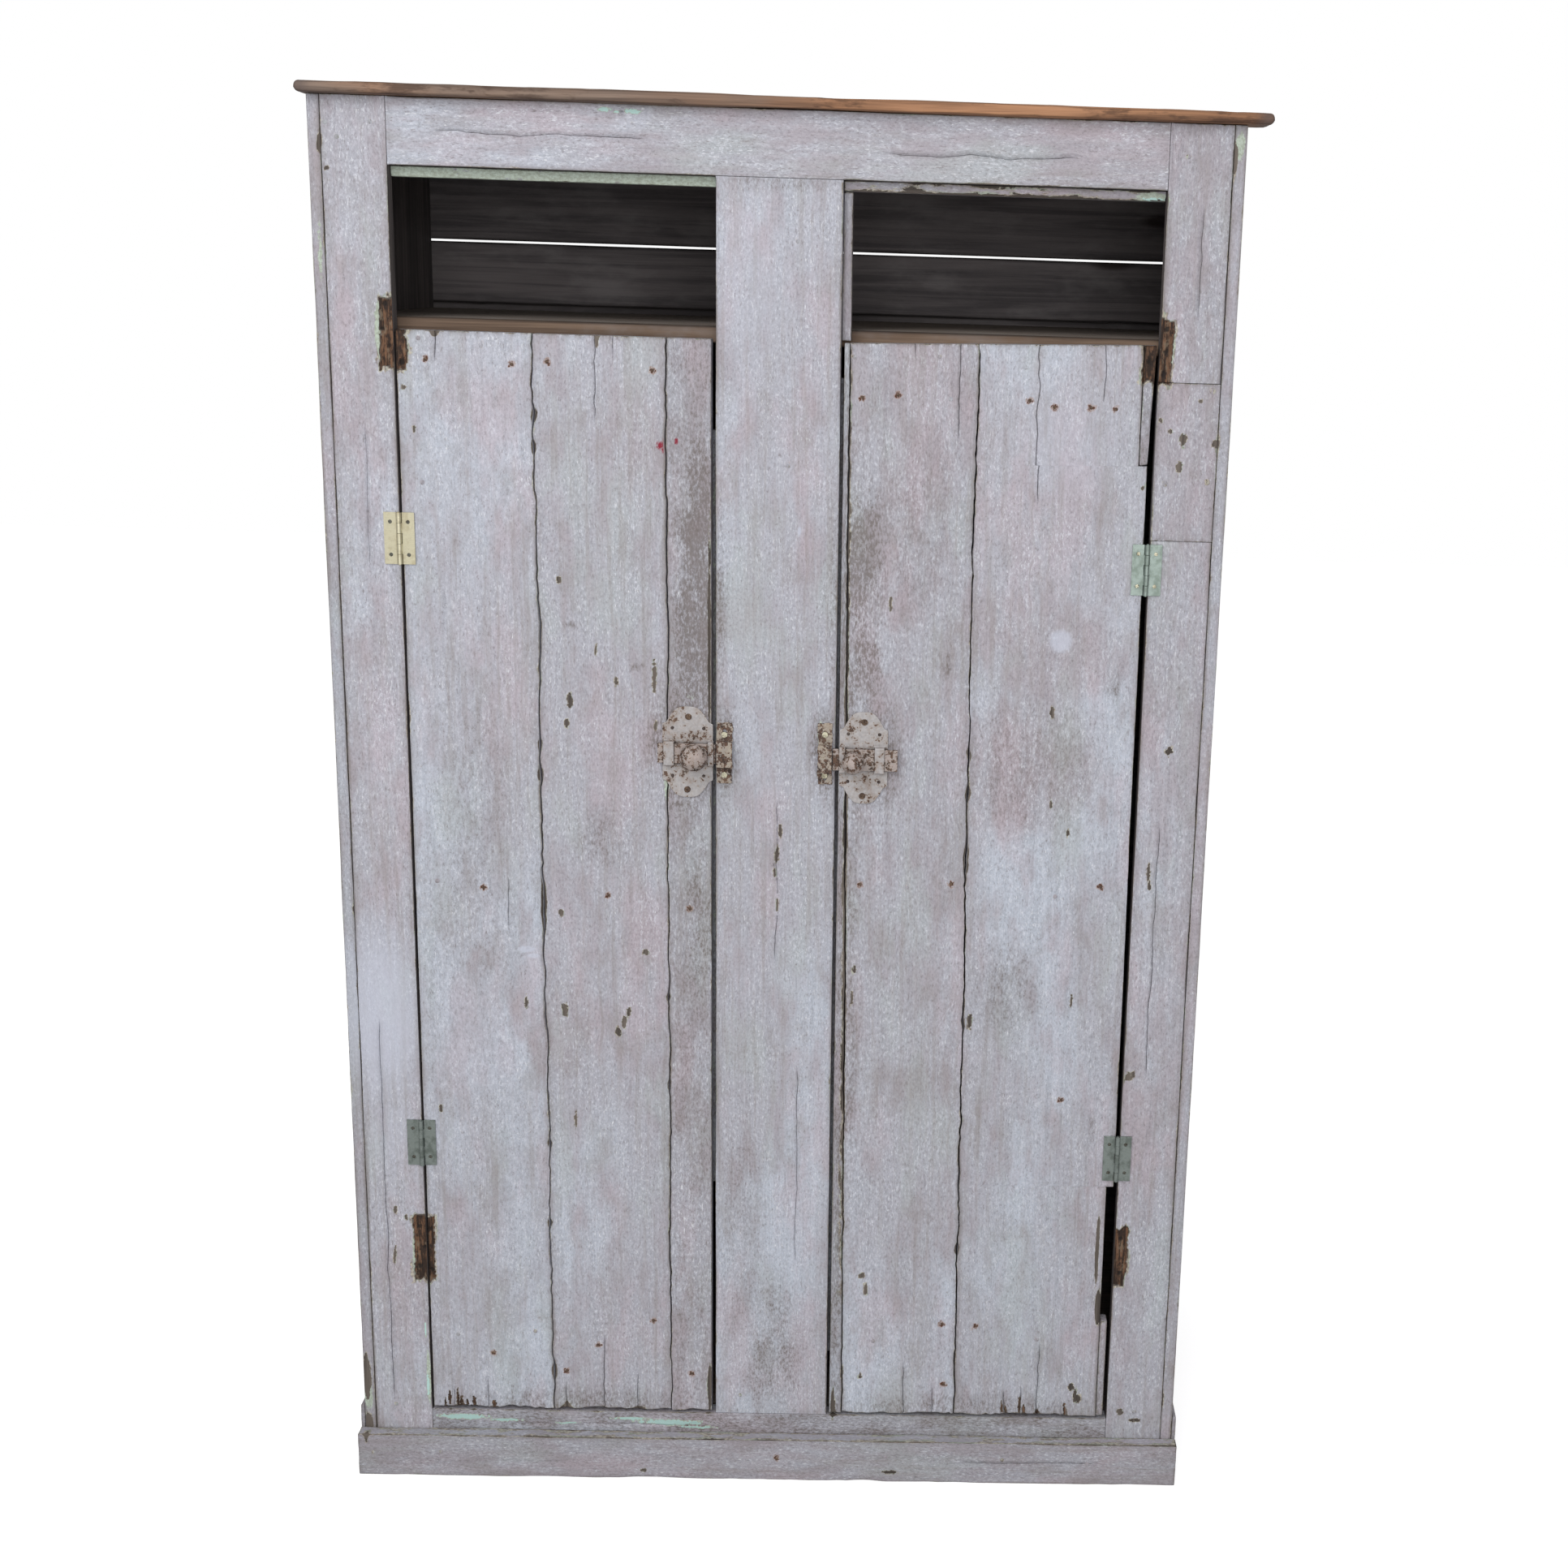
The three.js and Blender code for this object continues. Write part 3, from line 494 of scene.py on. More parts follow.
class Board:
    """One board: its box, the way it was cut and how it has aged.

    along is the axis of its grain. cracks are (place across, start, end, width) in mm on the
    front. raw_sides are outward directions that were never painted, as (axis, sign); on the
    shelves they are the upper faces, made paler as painted light. recess is (low, high, depth) in
    mm of z. ragged is how far the lower end is eaten away, in mm, spread how much wider the upper
    end is than the CAD board, in mm, and grown how far each end of an axis reaches past it, as
    {axis: mm}. blunt is how much rounder its two ends are, in mm, and dusty boards have
    paler upper faces, painted light from above, with flaking paint and a little dirt. mauve and
    tone may be pairs, for its two ends.
    """

    plain = dict(cracks=(), wear=1.0, front=False, fitted=False, mauve=0.0, tone=1.0, raw_sides=(),
                 recess=None, ragged=0.0, mint=0.0, grime=0.0, grown=None, relief=1.0, spread=0.0,
                 blunt=0.0, dusty=False)

    def __init__(self, node, along, seed, **options):
        self.node, self.along, self.seed = node, along, seed
        vars(self).update(self.plain | options)
        self.across = X if along != X else Z
        self.low, self.high = (np.array(corner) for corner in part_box(node))
        for axis, reach in (self.grown or {}).items():
            self.low[axis] -= reach * MM
            self.high[axis] += reach * MM

    def axis_lines(self, steps):
        extra = {X: [], Y: [], Z: []}
        if self.front:
            for axis, ranges in ((X, [xs for xs, _ in SCARS]), (Z, [zs for _, zs in SCARS])):
                for scar, (start, end) in zip(SCARS, ranges):
                    if self.holds(*scar[0], *scar[1]):
                        extra[axis] += feature_lines(axis, np.arange(start - 4, end + 4, 1.9))
        if self.fitted:
            extra[Z] += step_lines(self.node)
        if self.recess:
            extra[Z] += feature_lines(Z, [p + d for p in self.recess[:2] for d in (-0.1, 0.1)])
        for place, _, _, width in self.cracks:
            extra[self.across] += feature_lines(self.across, [place - width, place, place + width])
        return [grid_lines(self.low[axis], self.high[axis],
                           steps[1 if axis == self.along else 0] * MM, extra[axis])
                for axis in (X, Y, Z)]

    def holds(self, left, right, bottom, top):
        """Whether a range on the front, in mm, meets this board."""
        low, high = (self.low - ORIGIN) / MM, (self.high - ORIGIN) / MM
        return right > low[X] and left < high[X] and top > low[Z] and bottom < high[Z]

    def edge_radius(self, flat, flat_x, flat_z, from_end):
        """How round the edge is near each point, where it is sealed and how much is broken off."""
        count = len(flat)
        sealed, broken = np.zeros(count, bool), np.zeros(count)
        if self.front:
            for (left, right), (bottom, top) in SEALED:
                sealed |= (flat_x > left) & (flat_x < right) & (flat_z > bottom) & (flat_z < top)
        if self.fitted:
            for joint, height, half, size in EDGE_CHIPS:
                near = np.abs(flat_x - joint) < JOINT_REACH
                shape = size * bump_at(flat_z[near], height, 1.3 * half)
                broken[near] = np.maximum(broken[near], shape)
        stretch = self.stretch(60.0, 22.0)
        worn = 0.9 + 0.9 * noise(flat, stretch, self.seed)
        worn += 1.1 * np.maximum(0, noise(flat, stretch * 2.3, self.seed + 1))
        worn += 5.5 * np.maximum(0, noise(flat, stretch * 0.8, self.seed + 2) - 0.42)
        if self.fitted:
            tight = np.zeros(count, bool)
            for joint in WANDERING:
                tight |= np.abs(flat_x - joint) < JOINT_REACH
            worn = np.where(tight, 0.55 * worn, worn)
        worn += self.blunt * np.exp(-from_end / 8.0)
        most = 6.2 if self.blunt else 5.5
        radius = np.clip(np.where(sealed, 0.3, worn * self.wear + broken), 0.35, most) * MM
        return radius, sealed, broken

    def stretch(self, across, along):
        """Cells per metre of a noise that is drawn out along the grain."""
        scale = np.full(3, across)
        scale[self.along] = along
        return scale

    def shaped(self, points, normal, flat, flat_x, flat_z, sealed):
        """Rough faces, an eaten lower end, and the CAD board's lean and notches."""
        seed, low, high = self.seed, self.low, self.high
        relief = 0.12 * noise(flat, self.stretch(260.0, 14.0), seed + 3)
        relief += 0.24 * noise(flat, self.stretch(60.0, 22.0) * 0.35, seed + 4)
        push = np.where(sealed, -0.05, np.minimum(relief, 0.25) * self.relief - 0.12)
        points += normal * push[:, None] * MM
        if self.ragged:
            run = flat * [1, 0, 0]
            depth = np.maximum(0, noise(run, 55.0, seed + 5) + 0.1)
            depth += 0.9 * np.maximum(0, noise(run, 190.0, seed + 6) - 0.1)
            points[:, Z] += self.ragged * depth * MM * bump_at(flat[:, Z], low[Z], 16 * MM)
        if self.fitted:
            points = fit_to_outline(points, self.node, low, high)
            points[:, X] += wander(flat_x, flat_z) * MM
            share = (flat - low) / (high - low)
            points[:, X] += self.spread * MM * share[:, X] * share[:, Z]
        return points

    def cracked(self, points, x, z, flat_line, edge, facing):
        """Cuts the cracks into the points, and says how deep in a crack each one is, 0 to 1."""
        count = len(points)
        run = z if self.across == X else x
        depths = np.zeros(count)
        for place, start, end, width in self.cracks:
            taper = smooth(start - 4, start + 14, run) * (1 - smooth(end - 14, end + 4, run))
            at_least(depths, taper * np.clip(1 - np.abs(flat_line - place) / width, 0, 1) * facing)
            path = np.stack([np.zeros(count), run * MM, np.full(count, place * MM)], 1)
            sway = 1.6 * noise(path, 28.0, self.seed + 7) + 0.8 * noise(path, 90.0, self.seed + 8)
            hold = bump_at(flat_line, place, 13.0) * smooth(0.5, 3.0, edge)
            points[:, self.across] += sway * MM * hold
        points[:, Y] += depths * CRACK_DEPTH * MM
        return depths

    def aged(self, flat):
        """Where points of the box lie on the worn board, and what the paint has to know there."""
        low, high, seed, along = self.low, self.high, self.seed, self.along
        count = len(flat)
        edge = edge_distance(flat, low, high) / MM
        from_end = np.minimum(flat[:, along] - low[along], high[along] - flat[:, along]) / MM
        flat_x, flat_z = front_place(flat)
        radius, sealed, broken = self.edge_radius(flat, flat_x, flat_z, from_end)
        points, normal = round_edges(flat, low, high, radius)
        points = self.shaped(points, normal, flat, flat_x, flat_z, sealed)
        x, z = front_place(points)
        facing = normal[:, Y] < -0.5
        depths = self.cracked(points, x, z, flat_x if self.across == X else flat_z, edge, facing)

        mint = np.full(count, self.mint)
        grime = np.full(count, self.grime)
        if self.blunt:
            at_least(grime, np.exp(-from_end / 16.0))
        ends = [low[along], high[along]]
        mauve = np.interp(flat[:, along], ends, np.ones(2) * self.mauve)
        tone = np.interp(flat[:, along], ends, np.ones(2) * self.tone)
        bare, rust, rim, red, pale, hole = (np.zeros(count) for _ in range(6))
        if self.front:
            near = 1 - smooth(3.0, 14.0, (flat[:, Y] - low[Y]) / MM)
            inside = near * scar_mask(x, z, 1.4, 0.3, 2.2)
            places = flat_place(x, z)
            gouges = 1.0 + 0.45 * noise(places, (420, 1, 40), 75)
            gouges += 0.3 * noise(places, (160, 1, 90), 76)
            points[:, Y] += inside * facing * SCAR_DEPTH * gouges * MM
            for layer, strength in (
                (rim, 1.15 * scar_mask(x, z, 3.0, 5.0, 3.4)),
                (rim, 0.9 * marks(x, z, CHIP_RIMS)),
                (bare, spots(x, z, BARE_SPOTS)),
                (bare, 1.1 * marks(x, z, CHIPS)),
                (bare, 1.35 * marks(x, z, SPLINTERS)),
                (mint, spots(x, z, MINT_SPOTS)),
                (mint, 1.4 * marks(x, z, MINT_MARKS)),
                (grime, spots(x, z, GRIME_SPOTS)),
                (mauve, spots(x, z, MAUVE_SPOTS)),
                (rust, marks(x, z, nail_rows(RUSTED_NAILS, NAIL_HALO))),
                (rust, 0.4 * marks(x, z, nail_rows(PAINTED_NAILS, NAIL_HALO))),
                (red, marks(x, z, RED_PAINT)),
                (pale, marks(x, z, PALE_SPOTS, 0.25)),
                (pale, spots(x, z, PALE_AREAS)),
            ):
                at_least(layer, near * strength)
            at_least(bare, 1.25 * inside)
            at_least(bare, 0.75 * smooth(1.8, 4.2, broken) * np.exp(-edge / 3.0))
            at_least(hole, marks(x, z, [(a, b, r, r * 1.15) for a, b, r in SCAR_HOLES]))
            points[:, Y] += hole * facing * HOLE_DEPTH * MM
        if self.dusty:
            # Paler upper faces: painted light from above, with flaking paint and a little dirt
            upward = smooth(0.35, 0.8, normal[:, Z])
            for layer, strength in ((bare, 0.20), (rim, 0.42), (grime, 0.15), (pale, 0.35)):
                at_least(layer, strength * upward)
        if self.recess:
            depth = low[Y] + self.recess[2] * MM
            inside = (z > self.recess[0]) & (z < self.recess[1]) & (flat[:, Y] < depth)
            points[inside, Y] = depth
        raw = np.zeros(count)
        for axis, sign in self.raw_sides:
            at_least(raw, smooth(0.75, 0.95, normal[:, axis] * sign))

        order = [self.across, along, 3 - self.across - along]
        shift = [3.0 * lattice(*np.array([[seed], [k], [7]]), 11)[0] for k in range(3)]
        edge_wear = np.where(sealed, 0.25, 1.0) * np.exp(-edge / 2.6)
        return points, {
            "grain": flat[:, order] + shift,
            "stains": np.stack([mint, rust, bare], 1),
            "wear": np.stack([edge_wear, grime, mauve], 1),
            "state": np.stack([raw, tone, np.maximum(depths, hole)], 1),
            "marks": np.stack([red, pale, rim], 1),
        }

    def fine_skins(self):
        """Small, finely divided sheets of the front face over each mark that lies on it."""
        rows = [*nail_rows(RUSTED_NAILS, NAIL_HALO), *CHIPS, *SPLINTERS, *RED_PAINT, *PALE_SPOTS,
                *MINT_MARKS]
        low = (self.low + SKIN_INSET * MM - ORIGIN) / MM
        high = (self.high - SKIN_INSET * MM - ORIGIN) / MM
        placed = []
        for x, z, half_x, half_z in rows:
            reach_x, reach_z = half_x + SKIN_MARGIN, half_z + SKIN_MARGIN
            left, right = max(x - reach_x, low[X]), min(x + reach_x, high[X])
            bottom, top = max(z - reach_z, low[Z]), min(z + reach_z, high[Z])
            if min(right - left, top - bottom) < SMALLEST_SKIN:
                continue
            under = sum(left < r and right > l and bottom < t and top > b for l, r, b, t in placed)
            placed.append((left, right, bottom, top))
            xs = np.linspace(left, right, int((right - left) / SKIN_STEP) + 2)
            zs = np.linspace(bottom, top, int((top - bottom) / SKIN_STEP) + 2)
            grid_x, grid_z = np.meshgrid(MIDDLE_X + xs * MM, zs * MM, indexing="ij")
            flat = np.stack([grid_x.ravel(), np.full(grid_x.size, self.low[Y]), grid_z.ravel()], 1)
            yield flat, quads_of(np.arange(grid_x.size).reshape(grid_x.shape)), under


def make_board(node, material, steps, skins=False, **options):
    """The mesh of one board. steps are the grid steps across and along its grain, in mm."""
    board = Board(node, **options)
    flat, faces = box_grid(board.axis_lines(steps))
    sheets = [(*board.aged(flat), faces)]
    if skins:
        for flat, faces, under in board.fine_skins():
            points, attributes = board.aged(flat)
            points[:, Y] -= SKIN_LIFT * (1 + 0.4 * under) * MM
            sheets.append((points, attributes, faces))
    starts = np.cumsum([0] + [len(points) for points, _, _ in sheets])
    points = np.concatenate([points for points, _, _ in sheets])
    faces = np.concatenate([faces + start for (_, _, faces), start in zip(sheets, starts)])
    attributes = {key: np.concatenate([sheet[1][key] for sheet in sheets]) for key in sheets[0][1]}
    obj = new_mesh_object(node + "_wood", points, faces, attributes)
    obj.data.materials.append(material)
    return stand_for(obj, node)


# ---- material helpers ---------------------------------------------------------------------------

def linear(red, green, blue):
    """A colour given as 0 to 255 display values, as the linear values that a shader takes."""
    values = [c / 255 for c in (red, green, blue)]
    return [c / 12.92 if c <= 0.04045 else ((c + 0.055) / 1.055) ** 2.4 for c in values] + [1.0]


class Value:
    """A node's output. Numbers from nodes add, subtract and multiply as plain numbers do."""

    def __init__(self, shader, socket):
        self.shader, self.socket = shader, socket

    def __add__(self, other):
        return self.shader.math("ADD", self, other)

    def __sub__(self, other):
        return self.shader.math("SUBTRACT", self, other)

    def __mul__(self, other):
        return self.shader.math("MULTIPLY", self, other)

    __radd__ = __add__


class Shader:
    """A material, and short names for its nodes. Its colours are (red, green, blue), 0 to 255."""

    def __init__(self, name, roughness=0.8, metallic=0.0, specular=0.3):
        self.material = bpy.data.materials.new(name)
        self.material.use_nodes = True
        self.tree = self.material.node_tree
        self.tree.nodes.clear()
        output = self.tree.nodes.new("ShaderNodeOutputMaterial")
        self.bsdf = self.tree.nodes.new("ShaderNodeBsdfPrincipled")
        self.tree.links.new(self.bsdf.outputs["BSDF"], output.inputs["Surface"])
        self.bsdf.inputs["Roughness"].default_value = roughness
        self.bsdf.inputs["Metallic"].default_value = metallic
        self.bsdf.inputs["Specular IOR Level"].default_value = specular

    def put(self, socket, value):
        value = getattr(value, "socket", value)
        if isinstance(value, bpy.types.NodeSocket):
            self.tree.links.new(value, socket)
        elif isinstance(value, tuple):
            socket.default_value = linear(*value)[:len(socket.default_value)]
        else:
            socket.default_value = value

    def node(self, kind, output, settings=None, inputs=(), **named):
        """A new node's output. inputs are its first ones in order, named the others by name."""
        node = self.tree.nodes.new("ShaderNode" + kind)
        for key, value in (settings or {}).items():
            setattr(node, key, value)
        for i, value in enumerate(inputs):
            self.put(node.inputs[i], value)
        for key, value in named.items():
            self.put(node.inputs[key.replace("_", " ")], value)
        return Value(self, node.outputs[output])

    def math(self, operation, a, b, clamp=False):
        return self.node("Math", 0, {"operation": operation, "use_clamp": clamp}, (a, b))

    def attribute(self, name):
        return self.node("Attribute", "Vector", {"attribute_name": name})

    def parts(self, name):
        """The three numbers of a point attribute."""
        first = self.node("SeparateXYZ", 0, Vector=self.attribute(name))
        return [Value(self, socket) for socket in first.socket.node.outputs]

    def place(self):
        return self.node("TexCoord", "Object")

    def scaled(self, vector, scale):
        return self.node("VectorMath", 0, {"operation": "MULTIPLY"}, (vector, list(scale)))

    def noise(self, vector, scale, detail=3.0, rough=0.55, warp=0.0):
        """Noise round 0.5. scale is cells per metre across, along and through the grain."""
        return self.node("TexNoise", "Fac", Vector=self.scaled(vector, scale), Scale=1.0,
                         Detail=detail, Roughness=rough, Distortion=warp)

    def cells(self, vector, scale):
        return self.node("TexVoronoi", "Distance", Vector=self.scaled(vector, scale), Scale=1.0)

    def between(self, value, low, high):
        """0 below low, 1 above high, smooth between. low may be above high."""
        return self.node("MapRange", "Result", {"interpolation_type": "SMOOTHSTEP"}, Value=value,
                         From_Min=low, From_Max=high)

    def mix(self, share, a, b):
        node = self.tree.nodes.new("ShaderNodeMix")
        node.data_type = "RGBA"
        for i, value in ((0, share), (6, a), (7, b)):
            self.put(node.inputs[i], value)
        return Value(self, node.outputs[2])

    def tint(self, colour, share, *over):
        return self.mix(share, colour, over)

    def bright(self, colour, factor):
        """The colour times a number."""
        return self.node("VectorMath", 0, {"operation": "SCALE"}, (colour,), Scale=factor)

    def finish(self, colour, roughness=None, height=None, bump_mm=0.4):
        self.put(self.bsdf.inputs["Base Color"], colour)
        if roughness is not None:
            self.put(self.bsdf.inputs["Roughness"], roughness)
        if height is not None:
            bump = self.node("Bump", "Normal", Height=height, Strength=1.0, Distance=bump_mm * MM)
            self.put(self.bsdf.inputs["Normal"], bump)
        return self.material


def wood_colour(s, grain, dark, light, scale=1.0):
    """Bare softwood: growth rings drawn out along the grain and fine fibres."""
    rings = s.noise(grain, (70 * scale, 2.2, 70), 4, 0.6, 0.8)
    fibres = s.noise(grain, (900, 14, 900), 3, 0.6)
    patches = s.noise(grain, (12, 4, 12), 3)
    colour = s.mix(s.between(rings, 0.36, 0.64) * 0.55 + fibres * 0.45, dark, light)
    return s.bright(colour, 0.72 + patches * 0.56), fibres, rings


def painted_wood():
    """Chalky grey-lilac paint over mint green over bare wood, with dirt, chips and rust."""
    s = Shader("painted_wood", specular=0.25)
    grain = s.attribute("grain")
    mint_mask, rust_mask, bare_mask = s.parts("stains")
    edge_mask, grime_mask, mauve_mask = s.parts("wear")
    raw_mask, tone, crack = s.parts("state")
    red_mask, pale_mask, rim_mask = s.parts("marks")

    clouds = s.noise(grain, (7, 2.2, 7), 4, 0.6)
    blotches = s.noise(grain, (38, 13, 38), 4, 0.62)
    streaks = s.noise(grain, (420, 16, 420), 4, 0.65)
    strokes = s.noise(grain, (150, 5, 150), 3, 0.6)
    crumbs = s.noise(grain, (430, 260, 430), 4, 0.72)
    flakes = s.noise(grain, (370, 165, 370), 5, 0.74)
    chips = s.noise(grain, (95, 30, 95), 6, 0.7, 0.3)
    hue = s.noise(grain, (13, 4.5, 13), 5, 0.62)
    ticks = s.noise(grain, (640, 120, 640), 3, 0.55)
    mottle = s.noise(grain, (26, 12, 26), 5, 0.7)

    # Bluish to lilac to mauve, then pinker and greener clouds
    lilac = s.between(clouds + mauve_mask * 0.30, 0.40, 0.62)
    mauve = s.between(blotches + mauve_mask * 0.22, 0.50, 0.78) * 0.62
    colour = s.tint(s.mix(lilac, (176, 181, 192), (167, 167, 176)), mauve, 158, 149, 155)
    colour = s.tint(colour, s.between(hue, 0.50, 0.66) * 0.42, 178, 163, 171)
    colour = s.tint(colour, s.between(hue, 0.48, 0.34) * 0.42, 168, 175, 176)
    colour = s.bright(colour, streaks * 0.40 + strokes * 0.36 + crumbs * 0.92 + 0.155)

    # Small white flecks where the top coat has rubbed thin, whiter ticks on paint ridges that are
    # partly painted highlights, and dark pits between them
    fleck = s.between(flakes, 0.545, 0.62) * s.between(blotches, 0.66, 0.40)
    ridge_tick_and_highlight = s.between(ticks, 0.615, 0.66) * s.between(blotches, 0.60, 0.42)
    colour = s.tint(colour, fleck * 0.62, 208, 210, 218)
    colour = s.tint(colour, ridge_tick_and_highlight * 0.70, 222, 223, 228)
    colour = s.tint(colour, s.between(ticks, 0.36, 0.32) * 0.55, 120, 112, 112)
    colour = s.tint(colour, s.between(flakes, 0.43, 0.36) * 0.48, 118, 112, 113)

    # Grey-brown weathering along the grain, dirt in patches and at the edges, and pale areas
    weather = s.between(strokes, 0.46, 0.70) * s.between(clouds, 0.38, 0.58)
    colour = s.tint(colour, weather * 0.42, 130, 123, 120)
    colour = s.tint(colour, s.between(mottle, 0.50, 0.68) * 0.30, 134, 127, 124)
    dirt = s.math("MULTIPLY", grime_mask, 0.40 + s.between(flakes, 0.56, 0.40), clamp=True)
    dirt = dirt * (0.55 + s.between(blotches, 0.38, 0.6))
    dirt = s.math("MAXIMUM", dirt, edge_mask * 1.1 * s.between(strokes, 0.3, 0.6), clamp=True)
    colour = s.tint(colour, dirt * 0.66, 98, 89, 82)
    colour = s.tint(colour, pale_mask * 0.60, 190, 194, 208)

    # Wood under the paint: grey where chipped, brown and splintered in the deeper scars
    grey_wood, fibres, _ = wood_colour(s, grain, (46, 40, 37), (116, 107, 99))
    split = s.noise(grain, (420, 26, 420), 4, 0.7)
    rot = s.noise(grain, (150, 60, 150), 4, 0.7)
    brown_wood = s.mix(s.between(split, 0.40, 0.62), (40, 30, 25), (112, 82, 62))
    brown_wood = s.tint(brown_wood, s.between(rot, 0.48, 0.60), 50, 38, 32)
    brown_wood = s.tint(brown_wood, s.between(rot, 0.46, 0.36) * 0.6, 116, 102, 86)
    wood = s.mix(s.between(bare_mask, 1.10, 1.20), grey_wood, brown_wood)

    # Worn edges and chips go down to wood, with a dirty cream rim of old paint round them
    deep = s.between(flakes, 0.66, 0.72) * s.between(chips, 0.50, 0.58)
    wear_line = edge_mask * 0.345 + bare_mask * 0.62 + chips + deep * 0.30
    gone = s.between(wear_line, 0.875, 0.90)
    rim = s.between(wear_line + rim_mask * 0.30, 0.78, 0.86)
    rim_colour = s.mix(s.between(flakes, 0.46, 0.56), (120, 109, 96), (178, 170, 150))
    rim_colour = s.tint(rim_colour, s.between(streaks, 0.5, 0.62) * 0.5, 150, 178, 158)
    colour = s.mix(rim * 0.75, colour, rim_colour)

    mint_line = mint_mask * 0.34 + flakes * 0.5 + chips * 0.5
    mint_colour = s.mix(s.between(crumbs, 0.4, 0.6), (152, 160, 144), (178, 190, 176))
    mint_colour = s.tint(mint_colour, s.between(mint_mask, 1.05, 1.2), 172, 206, 200)
    colour = s.mix(s.between(mint_line, 0.68, 0.74) * 0.88, colour, mint_colour)
    colour = s.mix(gone, colour, wood)

    rust_line = rust_mask * 0.62 + flakes
    colour = s.tint(colour, s.between(rust_line, 0.70, 0.95) * 0.46, 150, 118, 94)
    colour = s.tint(colour, s.between(rust_line, 1.04, 1.14), 80, 52, 40)
    colour = s.tint(colour, red_mask * s.between(flakes, 0.36, 0.48), 132, 40, 56)
    colour = s.tint(colour, crack * 0.88, 30, 25, 23)

    never_painted, _, _ = wood_colour(s, grain, (60, 57, 59), (112, 104, 102))
    colour = s.bright(s.mix(raw_mask, colour, never_painted), tone)

    bare_any = s.math("MAXIMUM", gone, raw_mask)
    height = streaks * 0.40 + crumbs * 0.45 + flakes * 0.60 + strokes * 0.35 + ridge_tick_and_highlight * 0.30
    height = height - bare_any * 0.7 + bare_any * fibres * 0.6
    return s.finish(colour, 0.66 + blotches * 0.22, height, 0.6)


def aged_wood(name, dark, light):
    """Bare boards darkened by years indoors and weathered silver-grey outside, with nail-dark
    knots.
    On the shelves that pale colour lies on the upper faces, as painted light.
    """
    s = Shader(name, specular=0.2)
    grain = s.attribute("grain")
    colour, fibres, rings = wood_colour(s, grain, dark, light)
    edge_mask, _, _ = s.parts("wear")
    outside, tone, crack = s.parts("state")
    dust = s.noise(grain, (22, 9, 22), 4, 0.65)
    knots = s.cells(grain, (9, 2.6, 9))
    colour = s.tint(colour, s.between(dust, 0.46, 0.72) * 0.35, 130, 126, 126)
    colour = s.tint(colour, s.between(knots, 0.11, 0.05) * 0.8, 34, 24, 20)
    silvered_or_lit_top = s.mix(s.between(fibres, 0.34, 0.66), (104, 98, 94), (154, 148, 142))
    # outside is also the shelves' upper faces, where the paler colour is painted light
    colour = s.mix(outside * (0.30 + dust * 0.6), colour, silvered_or_lit_top)
    colour = s.bright(s.tint(colour, crack * 0.85, 24, 19, 17), tone)
    colour = s.tint(colour, s.between(edge_mask, 0.12, 0.75) * 0.8, 30, 25, 23)
    return s.finish(colour, 0.72 + dust * 0.2, fibres * 0.6 + rings * 0.7, 0.5)


def top_wood():
    """The loose top: bare brown softwood, greyer at the left end and more orange at the right."""
    s = Shader("top_wood")
    grain = s.attribute("grain")
    edge_mask, tip_mask, greyed = s.parts("wear")
    _, tone, crack = s.parts("state")
    brown, fibres, rings = wood_colour(s, grain, (66, 42, 29), (190, 140, 104), 0.8)
    grey, _, _ = wood_colour(s, grain, (64, 52, 46), (146, 126, 112), 1.2)
    patches = s.noise(grain, (6, 2.0, 6), 4, 0.6)
    stain = s.noise(grain, (44, 10, 44), 5, 0.70)
    knots = s.cells(grain, (8, 3.0, 8))
    colour = s.mix(s.between(patches + greyed * 0.30, 0.52, 0.74), brown, grey)
    colour = s.tint(colour, s.between(stain, 0.54, 0.64) * 0.65, 58, 40, 32)
    colour = s.tint(colour, s.between(knots, 0.10, 0.05) * 0.8, 46, 30, 24)
    colour = s.tint(colour, s.between(edge_mask, 0.35, 0.85) * 0.35, 50, 36, 30)
    colour = s.tint(colour, s.between(tip_mask, 0.15, 0.6) * 0.7, 92, 80, 76)
    colour = s.tint(colour, edge_mask * s.between(patches, 0.36, 0.60) * 0.45, 84, 66, 56)
    colour = s.bright(s.tint(colour, crack * 0.85, 30, 20, 15), tone)
    return s.finish(colour, 0.6 + stain * 0.25, fibres * 0.7 + rings * 0.8, 0.5)


def plated_metal(name, colour, tarnish, amount, roughness):
    """Stamped, plated sheet metal: fine brushing, dull blotches and small scratches."""
    s = Shader(name, metallic=0.85, specular=0.5)
    place = s.place()
    brushing = s.noise(place, (120, 120, 2600), 3, 0.6)
    blotches = s.noise(place, (110, 110, 90), 4, 0.6)
    specks = s.noise(place, (900, 900, 900), 2)
    base = s.bright(colour, 0.82 + brushing * 0.36)
    base = s.tint(base, s.between(blotches, 0.42, 0.66) * amount, *tarnish)
    base = s.tint(base, s.between(specks, 0.66, 0.74) * 0.5, 70, 62, 52)
    return s.finish(base, roughness + blotches * 0.3, brushing + specks * 0.5, 0.06)


